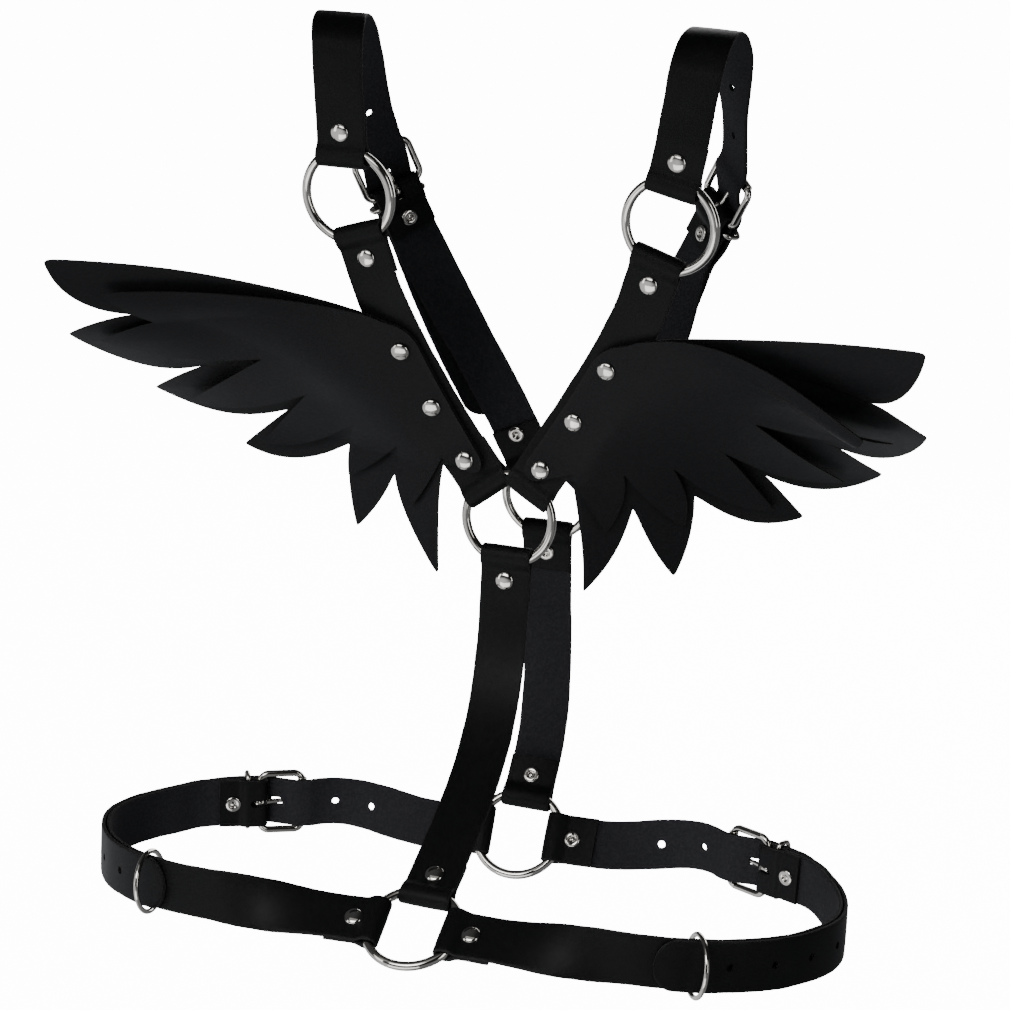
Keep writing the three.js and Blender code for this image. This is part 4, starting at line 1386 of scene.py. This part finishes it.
@dataclass
class Wing:
    """One wing: the strap that carries it, a long rear layer, a shorter front layer and three rivets."""

    side: Side
    centre: Centre
    ring: RingFrame
    ring_angle: float = -162.0
    pull: float = 0.24
    rivet_heights: tuple = (-158.0, -187.0)
    line_high: float = -142.0
    line_low: float = -220.0
    rear_depth: float = LEATHER / 2 + 0.7

    # Feathers from the top one down: tip x and z, the notch below it, the bow of its two edges, its curl
    REAR = np.array(
        [
            [215, -120, 181.5, -153, 3.8, 8.5, 20],
            [213.5, -163.5, 160.5, -184.5, 2, 10.5, 28],
            [186, -196, 122.5, -207.5, 1, 9, 28],
            [145.5, -226.5, 89, -221, 0.3, 8, 28],
            [82.5, -263, 61.5, -229, 2.5, 2, 6],
            [37.5, -278, 33, -216, 3.5, -1.5, -18],
        ]
    )
    FRONT = np.array(
        [
            [189, -136, 171, -156, 5.5, 1.5, 26],
            [198, -166, 123, -174.5, 1, 5, 26],
            [168, -202, 106, -194, 0.5, 5, 26],
            [133, -223, 80.5, -204.5, 0.3, 6, 26],
            [87, -236.5, 58, -212, 3, 2, 6],
            [50, -243, 33.5, -214.5, 3, 1, -5],
        ]
    )
    front_spread: float = 2.4

    def build(self) -> None:
        """Makes the strap, the two layers and the rivets."""
        sign, label = self.side.value, self.side.label
        top = self.ring.strap_end(sign * self.ring_angle)
        hang = HANGS[self.side]
        low = self.centre.back.strap_end(sign * hang.wing_angle, hang.wing_rivet)
        strap = Strap(f"dressed_strap_wing_{label}", link(top, low, self.pull), seed=4.1 + sign)
        add_strap(strap)
        add_rivet(f"wing_strap_{label}", top.rivet, top.face, DOUBLE)
        line = WingLine.along(strap, sign, self.line_high, self.line_low)
        front_depth = self.rear_depth + WING_LEATHER + 0.4
        stack = front_depth + WING_LEATHER - LEATHER / 2
        for number, height in enumerate(self.rivet_heights):
            place, face = line.spot(height)
            add_rivet(f"wing_{label}_{number + 1}", place + face * stack / 2, face, LEATHER + stack)
        add_rivet(f"wing_{label}_3", low.rivet + low.face * stack / 2, low.face, DOUBLE + stack)
        feathers = self.curled(self.REAR)
        rear = WingLayer(f"dressed_wing_rear_{label}", sign, line, feathers, self.rear_depth, 0.0)
        rear.top_rise, rear.top_back = hang.top_rise, hang.top_back
        rear.build()
        feathers = self.curled(self.FRONT)
        front = WingLayer(f"dressed_wing_front_{label}", sign, line, feathers, front_depth, self.front_spread)
        front.droop = hang.front_droop
        front.build()

    def curled(self, feathers: Array) -> Array:
        """The feathers with their curl as it hangs on this side."""
        curl = feathers[:, -1] * np.array(HANGS[self.side].curl_gain)
        return np.column_stack([feathers[:, :-1], curl])


@dataclass
class WingLine:
    """The line of the wing strap that a wing lies on: heights, places and faces from the top down."""

    sign: int
    heights: Array
    places: Array
    faces: Array
    high: float
    low: float

    @classmethod
    def along(cls, strap: Strap, sign: int, high: float, low: float) -> "WingLine":
        """Takes the strap's run between its two folds, where its height falls steadily.

        Args:
            strap: the wing strap.
            sign: sign of X on its side.
            high: top of the line.
            low: foot of the line.

        Returns:
            The line.
        """
        stations, places, _, face, _ = strap.frames()
        inner = (stations > 55) & (stations < stations[-1] - 40)
        return cls(sign, places[inner, 2], places[inner], face[inner], high, low)

    def at(self, z: Array) -> Array:
        """Places at heights, held at the ends of the line."""
        held = np.clip(z, self.low, self.high)
        return at_distance(self.places[::-1], self.heights[::-1], held)

    def spot(self, height: float) -> tuple[Array, Array]:
        """Place and outer face at one height."""
        face = at_distance(self.faces[::-1], self.heights[::-1], np.array(height))
        return self.at(np.array(height)), unit(face)

    def slope(self) -> Array:
        """Change of place with height at the top of the line."""
        return (self.at(np.array(self.high)) - self.at(np.array(self.high - 20))) / 20

    def skew(self) -> float:
        """Lean of the strap in the plane of the back, which the wing's foot follows."""
        run = self.at(np.array(self.high)) - self.at(np.array(self.low))
        return float(self.sign * run[0] * run[2] / (run[0] ** 2 + run[2] ** 2))


@dataclass
class WingLayer:
    """One leather layer of a wing: a grid from its root on the strap out to the edge of its feathers."""

    name: str
    sign: int
    line: WingLine
    feathers: Array
    depth: float
    spread: float
    thickness: float = WING_LEATHER
    top: tuple = (66.0, -143.0)
    root_top: float = -146.0
    root_low: float = -220.0
    margin: float = 9.5
    root_round: float = 11.0
    flat: float = 20.0
    even_z: float = -179.0
    bend_from: float = 13.0
    bend_to: float = 27.0
    twist: float = 0.38
    twist_rise: float = 38.0
    swell: float = 9.5
    swell_reach: tuple = (8.0, 104.0)
    spread_reach: tuple = (8.0, 70.0)
    curl_reach: float = 38.0
    curl_depth: float = 0.1
    slide: tuple = (-0.264, -0.24)
    tilt: float = 3.0
    tilt_heights: tuple = (-130.0, -165.0)
    tilt_reach: tuple = (20.0, 70.0)
    droop: float = 0.0
    droop_heights: tuple = (-172.0, -138.0)
    droop_reach: tuple = (20.0, 150.0)
    top_rise: float = 0.0
    rise_heights: tuple = (-165.0, -135.0)
    rise_length: float = 150.0
    top_back: float = 0.0
    back_heights: tuple = (-165.0, -116.0)
    back_reach: tuple = (20.0, 110.0)
    per_edge: int = 40
    rows: int = 52

    def outline(self) -> tuple[Array, Array, Array]:
        """The edge from the top of the root round the feathers, the line of notches inside it, and the curl.

        Each edge of a feather is a straight line with a parabolic bow, and the whole edge is smoothed a
        little, which rounds the tips and the notches.

        Returns:
            Points x and z of the edge and of the inner line, and the curl along them.
        """
        t = np.linspace(0, 1, self.per_edge, endpoint=False)[:, None]
        corner, inside = np.array(self.top), np.array(self.top)
        edge, inner, curls = [], [], []
        last = len(self.feathers) - 1
        for row, (tip_x, tip_z, notch_x, notch_z, upper, lower, curl) in enumerate(self.feathers):
            tip, notch = np.array([tip_x, tip_z]), np.array([notch_x, notch_z])
            pulled = notch if row == last else np.array([notch_x * 0.86 + 5, notch_z + 2])
            for start, end, bow in ((corner, tip, upper), (tip, notch, lower)):
                across = np.array([end[1] - start[1], start[0] - end[0]]) / np.linalg.norm(end - start)
                edge.append(start + (end - start) * t - across * 4 * bow * t * (1 - t))
            both = np.linspace(0, 1, 2 * self.per_edge, endpoint=False)[:, None]
            inner.append(inside + (pulled - inside) * both)
            curls.append(np.full((2 * self.per_edge, 1), curl))
            corner, inside = notch, pulled
        edge.append(corner[None])
        inner.append(inside[None])
        curls.append(curls[-1][-1:])
        soft_curl = blurred(np.concatenate(curls), self.per_edge * 0.4)
        return blurred(np.concatenate(edge), 1.1), blurred(np.concatenate(inner), 6.0), soft_curl

    def line_x(self, z: Array) -> Array:
        """The strap's distance from the middle, carried on straight above the line's top."""
        beyond = np.maximum(z - self.line.high, 0)
        return self.sign * (self.line.at(z)[..., 0] + beyond * self.line.slope()[0])

    def line_y(self, z: Array) -> Array:
        """The strap's depth, carried on straight above the line's top."""
        beyond = np.maximum(z - self.line.high, 0)
        return self.line.at(z)[..., 1] + beyond * self.line.slope()[1]

    def surface(self, x: Array, z: Array, off: Array) -> Array:
        """The layer's place over x and z.

        It lies on the strap near the root, then turns with height: the upper feathers bend back and the lower
        ones towards the body, by a tanh of the height times the distance out. A swell brings the whole blade
        a little towards the body, and the front layer stands off the rear one.

        Args:
            x: distances from the middle.
            z: heights.
            off: distances outside the strap's middle line.

        Returns:
            The places.
        """
        out = x - self.line_x(z)
        curve = (out - self.bend_from) ** 2 / (2 * (self.bend_to - self.bend_from))
        straight = out - (self.bend_from + self.bend_to) / 2
        reach = np.where(out < self.bend_from, 0.0, np.where(out < self.bend_to, curve, straight))
        turn = self.twist * np.tanh((z - self.even_z) / self.twist_rise)
        foot = z + self.line.skew() * np.minimum(out, self.flat)
        lean = self.swell * ease(out, *self.swell_reach) - self.spread * ease(out, *self.spread_reach)
        depth = self.line_y(foot) - reach * turn + lean - off
        lift = -self.sign * self.tilt * ease(z, *self.tilt_heights) * ease(out, *self.tilt_reach)
        sag = -self.droop * ease(out, *self.droop_reach) ** 1.4 * ease(z, *self.droop_heights)
        wave = np.sin(np.pi * np.clip(out / self.rise_length, 0, 1))
        arch = self.top_rise * wave * ease(z, *self.rise_heights)
        bend = self.top_back * ease(z, *self.back_heights) * ease(out, *self.back_reach)
        across, up = (share * bend for share in self.slide)
        return np.stack([self.sign * x + across, depth + bend, z + lift + sag + arch + up], axis=-1)

    def root(self, t: Array) -> Array:
        """The root's edge along the strap, with both corners rounded as quarter circles.

        Args:
            t: shares of the way down.

        Returns:
            Points x and z.
        """
        z = self.root_top + (self.root_low - self.root_top) * t
        down, up = (self.root_top - z) / self.root_round, (z - self.root_low) / self.root_round
        bite = sum(1 - np.sqrt(1 - (1 - np.clip(v, 0, 1)) ** 2) for v in (down, up))
        return np.stack([self.line_x(z) - self.margin + self.root_round * bite, z], axis=-1)

    def grid(self) -> tuple[Array, Array]:
        """Points x and z, and the curl: each line runs from the root past the notches to the edge.

        Returns:
            The points and the curl of each.
        """
        edge, inner, curl = self.outline()
        root = self.root(np.linspace(0, 1, len(edge)))
        share = np.linspace(0, 1, self.rows)[None, :, None]
        first = np.clip(share / 0.5, 0, 1)
        second = np.clip((share - 0.5) / 0.5, 0, 1)
        fine = 1 - (1 - second) ** 1.6
        flat = root[:, None] + (inner - root)[:, None] * first + (edge - inner)[:, None] * fine
        length = np.linalg.norm(edge - inner, axis=1)[:, None] * fine[..., 0]
        return flat, curl * np.tanh(length / self.curl_reach) ** 2

    def build(self) -> None:
        """Makes the two faces of the layer and the cut edge round them.

        A share of the curl bends a feather off the body; the rest slides it down and to the wearer's left.
        """
        flat, curl = self.grid()
        x, z = flat[..., 0], flat[..., 1]
        flat_curl = (1 - self.curl_depth) * curl[..., None] * vec(self.slide[0], 0, self.slide[1])
        deep_curl = self.curl_depth * curl
        far = self.surface(x, z, self.depth + deep_curl) + flat_curl
        near = self.surface(x, z, self.depth + self.thickness + deep_curl) + flat_curl
        lines, rows = x.shape
        number = np.arange(lines * rows).reshape(lines, rows)
        border = np.concatenate([number[0, :-1], number[:-1, -1], number[-1, :0:-1], number[:0:-1, 0]])
        total = lines * rows
        flat_far, flat_near = far.reshape(-1, 3), near.reshape(-1, 3)
        middle = (flat_far[border] + flat_near[border]) / 2
        points = np.concatenate([flat_far, flat_near, middle])
        cells = grid_faces(lines, rows)
        after = np.roll(np.arange(len(border)), -1)
        rim = 2 * total + np.arange(len(border))
        low_rim = np.stack([border, border[after], rim[after], rim], axis=-1)
        high_rim = np.stack([rim, rim[after], border[after] + total, border + total], axis=-1)
        faces = np.concatenate([cells, cells + total, low_rim, high_rim]).tolist()
        marks = self.marks(total, border)
        piece = mesh_object(self.name, points, faces, marks)
        WARDROBE.dress(piece, self.name.removeprefix("dressed_"), Slot.WING)

    @staticmethod
    def marks(total: int, border: Array) -> dict[str, Array]:
        """Values per vertex: suede on the far face, cut edge round the border, no folds.

        Args:
            total: vertices of one face.
            border: vertex numbers round one face.

        Returns:
            The values by name.
        """
        count = 2 * total + len(border)
        flesh = np.zeros(count)
        flesh[:total] = 1.0
        flesh[2 * total :] = 0.5
        rim = np.zeros(count)
        rim[2 * total :] = 1.0
        rim[border] = 0.4
        rim[border + total] = 0.4
        return {"flesh": flesh, "rim": rim, "fold": np.zeros(count)}


@dataclass
class Shoulder:
    """One shoulder: its ring, the strap over it, the buckle, the chest strap and the hanging tail."""

    side: Side
    centre: Centre
    ring: RingFrame
    tab: float = 23.0
    rivet: float = 16.0
    facing_rise: float = 0.05
    tail_spread: float = 9.0

    def build(self) -> None:
        """Makes every piece of the shoulder."""
        sign, label = self.side.value, self.side.label
        mirror = vec(sign, 1, 1)
        add_ring(f"shoulder_{label}", self.ring.place, self.ring.outward)
        hang = HANGS[self.side]
        heading = unit(np.array(hang.heading) * mirror)
        turn = math.radians(hang.buckle_turn)
        face = squared(vec(math.sin(turn), math.cos(turn), self.facing_rise) * mirror, heading)
        buckle = Buckle(f"shoulder_{label}", np.array(hang.heel) * mirror, heading, face)
        buckle.build()
        top = buckle.strap_end(self.tab, self.rivet)
        low = self.centre.chest.strap_end(sign * hang.chest_angle, hang.chest_rivet)
        chest = Strap(f"dressed_strap_chest_{label}", link(top, low, 0.27, 0.6), seed=7.3 + sign)
        chest.holes.append(Hole(self.tab - SLOT_BEFORE, self.tab + SLOT_AFTER, SLOT_RADIUS))
        add_strap(chest)
        add_rivet(f"chest_top_{label}", top.rivet, top.face, DOUBLE)
        add_rivet(f"chest_low_{label}", low.rivet, low.face, DOUBLE)
        end = self.ring.strap_end(sign * hang.shoulder_angle, turn=sign * hang.shoulder_turn)
        add_rivet(f"shoulder_{label}", end.rivet, end.face, DOUBLE)
        self.add_over(end, buckle, chest, mirror)
        buckle.add_keeper(f"shoulder_{label}")

    def add_over(self, end: Seat, buckle: Buckle, chest: Strap, mirror: Array) -> None:
        """The strap from the ring over the shoulder, through the buckle and down as a tail.

        Args:
            end: its folded end on the ring.
            buckle: the buckle that holds it.
            chest: the strap that the tail hangs over.
            mirror: signs of the side.
        """
        sign, label, hang = self.side.value, self.side.label, HANGS[self.side]
        over = np.array(hang.crest) * mirror
        crest = np.concatenate([[end.exit], over])
        past = np.array([-26, -19.5, -8, -2.5, 8, 17.5, 27])
        through = buckle.at(past, 0.0 * past, held_offset(past))
        line = spline(np.concatenate([crest, through, self.tail_line(chest)]))
        stations = walked(line)
        share = stations / stations[len(crest) * 40 - 40]
        level, arch = ease(share, 0.0, 0.35)[:, None], ease(share, 0.4, 1.0)[:, None]
        top = end.across * (1 - level) + np.sign(end.across[0]) * vec(1, 0, 0) * level
        across = unit(top * (1 - arch) + np.cross(buckle.heading, buckle.face) * arch)
        run = Route(line, across, np.full(len(line), STRAP_WIDTH / 2))
        strap = Strap(f"dressed_strap_shoulder_{label}", end.route.then(run), seed=9.6 + sign, tip=11.0)
        heel = heel_station(strap, buckle)
        strap.holes = [Hole(heel + past, heel + past, HOLE_RADIUS) for past in hang.free_holes]
        strap.holes.append(used_hole(heel))
        add_strap(strap)

    def tail_line(self, chest: Strap) -> Array:
        """The tail over the chest strap, standing off and swinging out towards its tip.

        Args:
            chest: the strap that it hangs over.

        Returns:
            Points along the tail.
        """
        stations, places, _, face, _ = chest.frames()
        hang = HANGS[self.side]
        past = np.append(np.arange(45, hang.tail_length - 9, 19), hang.tail_length)
        spots = at_distance(places, stations, self.tab + past + 6)
        faces = at_distance(face, stations, self.tab + past + 6)
        away = ease(past, 27, 112)[:, None]
        off = TAIL_OFFSET - CLOSED_OFFSET + self.tail_spread * away
        return spots + faces * off + vec(self.side.value, 0, 0) * hang.tail_swing * away


@dataclass
class BeltHalf:
    """One half of the belt: the back strap with its buckle, the front strap through it, and two keepers."""

    side: Side
    centre: Centre
    heel_x: float = 136.0
    rivet: float = 10.6
    first_stop: float = 85.0
    tail_holes: tuple = (37.0, 61.5, 86.0, 110.5)

    # Plan of the half belt from the back ring round the side to the front ring
    PLAN = np.array(
        [
            [22, -115, -411],
            [58, -119, -408],
            [95, -118, -408],
            [133, -105, -411],
            [167, -75, -415],
            [184, -32, -418],
            [174.5, 10, -419],
            [144, 41, -418],
            [100, 58, -417],
            [58, 61, -417],
            [22, 58.5, -419],
        ],
        float,
    )

    def survey(self) -> None:
        """Measures the plan line: stations, places, tangents, outer faces, and where heel and tail lie."""
        sign = self.side.value
        plan = self.PLAN * vec(sign, 1, 1)
        far = ease(self.PLAN[:, 1], -30, 40) * ease(self.PLAN[:, 0], 22, 80)
        plan[:, 2] += HANGS[self.side].belt_rise * far
        self.places = spline(plan, 60)
        self.stations = walked(self.places)
        self.tangents = unit(np.gradient(self.places, axis=0))
        flat = np.stack([sign * self.tangents[:, 1], -sign * self.tangents[:, 0], 0 * self.stations], axis=-1)
        self.faces = squared(flat, self.tangents)
        x, y = sign * self.places[:, 0], self.places[:, 1]
        self.heel = self.stations[np.argmax((y > 20) & (x < self.heel_x))]
        self.tail = self.stations[np.argmax((y < -60) & (x > HANGS[self.side].tail_x))]
        self.buckle = Buckle(
            f"waist_{self.side.label}",
            at_distance(self.places, self.stations, np.array(self.heel)),
            -unit(at_distance(self.tangents, self.stations, np.array(self.heel))),
            unit(at_distance(self.faces, self.stations, np.array(self.heel))),
        )

    def line(self, past: Array, off: Array) -> Array:
        """The belt's line by distance past the heel bar: straight through the buckle, easing into the plan.

        Args:
            past: distances past the heel bar.
            off: distances outside the plan.

        Returns:
            Points of the line.
        """
        where = self.heel - past
        spots = at_distance(self.places, self.stations, where)
        faces = at_distance(self.faces, self.stations, where)
        straight = self.buckle.at(past, 0.0 * past, off)
        bend = np.where(past > 0, ease(past, 16, 48), ease(-past, 24, 40))[..., None]
        return straight * (1 - bend) + (spots + faces * np.asarray(off)[..., None]) * bend

    def run(self, past: Array, off: Array, way: int) -> Route:
        """The belt along the plan, by distance past the heel bar, square to the plan.

        Args:
            past: distances past the heel bar.
            off: distances outside the plan.
            way: 1 from the back ring round, -1 from the front ring.

        Returns:
            The run.
        """
        where = self.heel - past
        tangent = way * at_distance(self.tangents, self.stations, where)
        across = np.cross(tangent, at_distance(self.faces, self.stations, where))
        return Route(self.line(past, off), unit(across), np.full(len(past), STRAP_WIDTH / 2))

    @staticmethod
    def joined(end: Seat, run: Route) -> Route:
        """A folded end carried onto a run: the bridge between them turns to the run's face.

        Args:
            end: the folded end.
            run: the run.

        Returns:
            The whole route.
        """
        heading = unit(run.places[0] - run.places[1])
        meet = Seat(heading, end.face, run.back(), run.places[0])
        return end.route.then(run_between(end, meet, 0.38, 1.0)).then(run)

    def build(self) -> None:
        """Makes every piece of the half belt."""
        sign, label = self.side.value, self.side.label
        self.survey()
        self.buckle.build()
        angle = sign * HANGS[self.side].belt_angle
        back_end = self.centre.waist_back.strap_end(angle, self.rivet)
        front_end = self.centre.waist_front.strap_end(angle, self.rivet)
        heel_end = self.buckle.strap_end()
        past = np.linspace(self.heel - self.first_stop, 26, 240)
        run = self.joined(back_end, self.run(past, np.full(len(past), CLOSED_OFFSET), 1))
        back = Strap(f"dressed_belt_back_{label}", run.then(heel_end.route.back()), seed=12.2 + sign)
        turn = walked(back.route.even(back.spacing, back.soft).places)[-1] - HEEL_TAB
        back.holes.append(Hole(turn - SLOT_AFTER, turn + SLOT_BEFORE, SLOT_RADIUS))
        add_strap(back)
        add_rivet(f"belt_back_{label}", back_end.rivet, back_end.face, DOUBLE)
        add_rivet(f"belt_heel_{label}", heel_end.rivet, heel_end.face, DOUBLE)
        self.add_front(front_end)

    def add_front(self, end: Seat) -> None:
        """The front strap from its ring through the buckle to the tail's round end, and the keepers.

        Args:
            end: its folded end on the ring.
        """
        sign, label = self.side.value, self.side.label
        tail_end = self.heel - self.tail
        first = self.heel + self.first_stop - self.stations[-1]
        past = np.linspace(first, tail_end, 420)
        run = self.joined(end, self.run(past, held_offset(past), -1))
        strap = Strap(f"dressed_belt_front_{label}", run, seed=15.8 + sign, soft=1.6, tip=10.5)
        heel, length = heel_station(strap, self.buckle), strap.frames()[0][-1]
        hang = HANGS[self.side]
        free = [heel + past for past in hang.belt_holes] + [length - left for left in self.tail_holes]
        strap.holes = [Hole(place, place, HOLE_RADIUS) for place in free]
        strap.holes.append(used_hole(heel))
        add_strap(strap)
        add_rivet(f"belt_front_{label}", end.rivet, end.face, DOUBLE)
        self.buckle.add_keeper(f"buckle_{label}")
        place = np.array(tail_end - hang.tail_keeper)
        centre = self.line(place, np.array((CLOSED_OFFSET + TAIL_OFFSET) / 2))
        swing = np.array(Matrix.Rotation(math.radians(hang.keeper_turn), 3, "Z"))
        axis = swing @ at_distance(self.tangents, self.stations, self.heel - place)
        WireRing(f"dressed_keeper_tail_{label}", centre, axis, KEEPER_RADIUS, KEEPER_WIRE).build()


# Studio


@dataclass(frozen=True)
class Lamp:
    """A soft rectangular lamp aimed at a point, with its watts and the spread of its beam in degrees."""

    name: str
    place: tuple
    size: tuple
    power: float
    aim: tuple = (0.0, 0.0, -220.0)
    spread: float = 180.0

    def build(self) -> None:
        """Sets the lamp up in the scene."""
        data = bpy.data.lights.new(self.name, "AREA")
        data.shape = "RECTANGLE"
        data.size, data.size_y = self.size[0] * MM, self.size[1] * MM
        data.energy = self.power
        data.spread = math.radians(self.spread)
        lamp = bpy.data.objects.new(self.name, data)
        bpy.context.scene.collection.objects.link(lamp)
        start, end = Vector(self.place) * MM, Vector(self.aim) * MM
        turn = (end - start).to_track_quat("-Z", "Y").to_matrix().to_4x4()
        lamp.matrix_world = Matrix.Translation(start) @ turn


@dataclass
class Studio:
    """Camera, floor, lights and sky."""

    camera_place: tuple = (409.1, -1487.5, 160.8)
    camera_aim: tuple = (0.0, 8.0, -234.4)
    camera_roll: float = 2.91
    focal_pixels: float = 3265.0
    frame_pixels: float = 1010.0
    floor_z: float = -640.0
    floor_half: float = 9000.0
    floor_level: float = 5200.0
    floor_rise: float = 2600.0
    floor_steps: int = 41
    sensor: float = 36.0

    LAMPS = (
        Lamp("key_left", (-1500, -1300, 100), (500, 1300), 5),
        Lamp("fill_right", (1600, -1000, 100), (400, 1200), 5),
        Lamp("low_front", (-200, -1500, -1300), (1800, 900), 10),
        Lamp("upper_front", (-300, -1150, 1350), (1900, 900), 2),
        Lamp("near_low", (-150, -820, 160), (620, 360), 0.75, (0.0, -90.0, -400.0), 60),
        Lamp("chest_side", (250, 1700, 250), (1500, 1100), 16),
    )

    def add_camera(self) -> None:
        """A camera at the photograph's place, rolled about its own axis."""
        data = bpy.data.cameras.new("camera")
        data.sensor_width = self.sensor
        data.lens = self.sensor * self.focal_pixels / self.frame_pixels
        data.clip_end = 100.0
        camera = bpy.data.objects.new("camera", data)
        bpy.context.scene.collection.objects.link(camera)
        place, aim = Vector(self.camera_place) * MM, Vector(self.camera_aim) * MM
        turn = (aim - place).to_track_quat("-Z", "Y").to_matrix()
        roll = Matrix.Rotation(math.radians(self.camera_roll), 3, "Z")
        camera.matrix_world = Matrix.Translation(place) @ (turn @ roll).to_4x4()
        bpy.context.scene.camera = camera

    def add_floor(self) -> None:
        """A wide sheet of white paper, as a grid that curves up far behind."""
        u = np.linspace(-1, 1, self.floor_steps)
        x, y = np.meshgrid(u * self.floor_half, u * self.floor_half, indexing="ij")
        lift = self.floor_rise * ease(np.hypot(x, y), self.floor_level, self.floor_half)
        points = np.stack([x, y, self.floor_z + lift], axis=-1).reshape(-1, 3)
        mesh = bpy.data.meshes.new("paper_floor")
        faces = grid_faces(self.floor_steps, self.floor_steps)
        mesh.from_pydata((points * MM).tolist(), [], faces.tolist())
        mesh.shade_smooth()
        floor = bpy.data.objects.new("paper_floor", mesh)
        bpy.context.scene.collection.objects.link(floor)
        mesh.materials.append(PaperFinish("paper").material())
        floor.visible_diffuse = False
        floor.visible_glossy = False
        floor.visible_shadow = False

    @staticmethod
    def add_sky() -> None:
        """Light from all round: white paper below and a dim room above, both brighter on the left."""
        world = bpy.data.worlds.new("sky")
        world.use_nodes = True
        tree = Tree(world.node_tree)
        backdrop = world.node_tree.nodes["Background"]
        place = tree.add("ShaderNodeTexCoord", {}, {}).outputs["Generated"]
        split = tree.add("ShaderNodeSeparateXYZ", {}, {0: place}).outputs
        by_height = Value(tree, split["Z"]).band(0.10, -0.16, 0.06, 0.75)
        by_side = Value(tree, split["X"]).band(-0.45, 0.35, 1.1, 0.28)
        tree.feed(backdrop.inputs["Strength"], by_height * by_side)
        tree.feed(backdrop.inputs["Color"], (0.94, 0.96, 1.0, 1))
        bpy.context.scene.world = world

    def build(self) -> None:
        """Sets up the whole studio."""
        self.add_camera()
        self.add_floor()
        self.add_sky()
        for lamp in self.LAMPS:
            lamp.build()


def main() -> None:
    """Builds the studio and every sub-assembly, in order."""
    logging.basicConfig(level=logging.INFO, format="%(message)s")
    WARDROBE.hang()
    Studio().build()
    centre = Centre()
    centre.build()
    for side in Side:
        ring = RingFrame.leaning((79 * side.value + 0.6, -17, -85), -1, -8, -7)
        Shoulder(side, centre, ring).build()
        Wing(side, centre, ring).build()
        BeltHalf(side, centre).build()


if __name__ == "__main__":
    main()
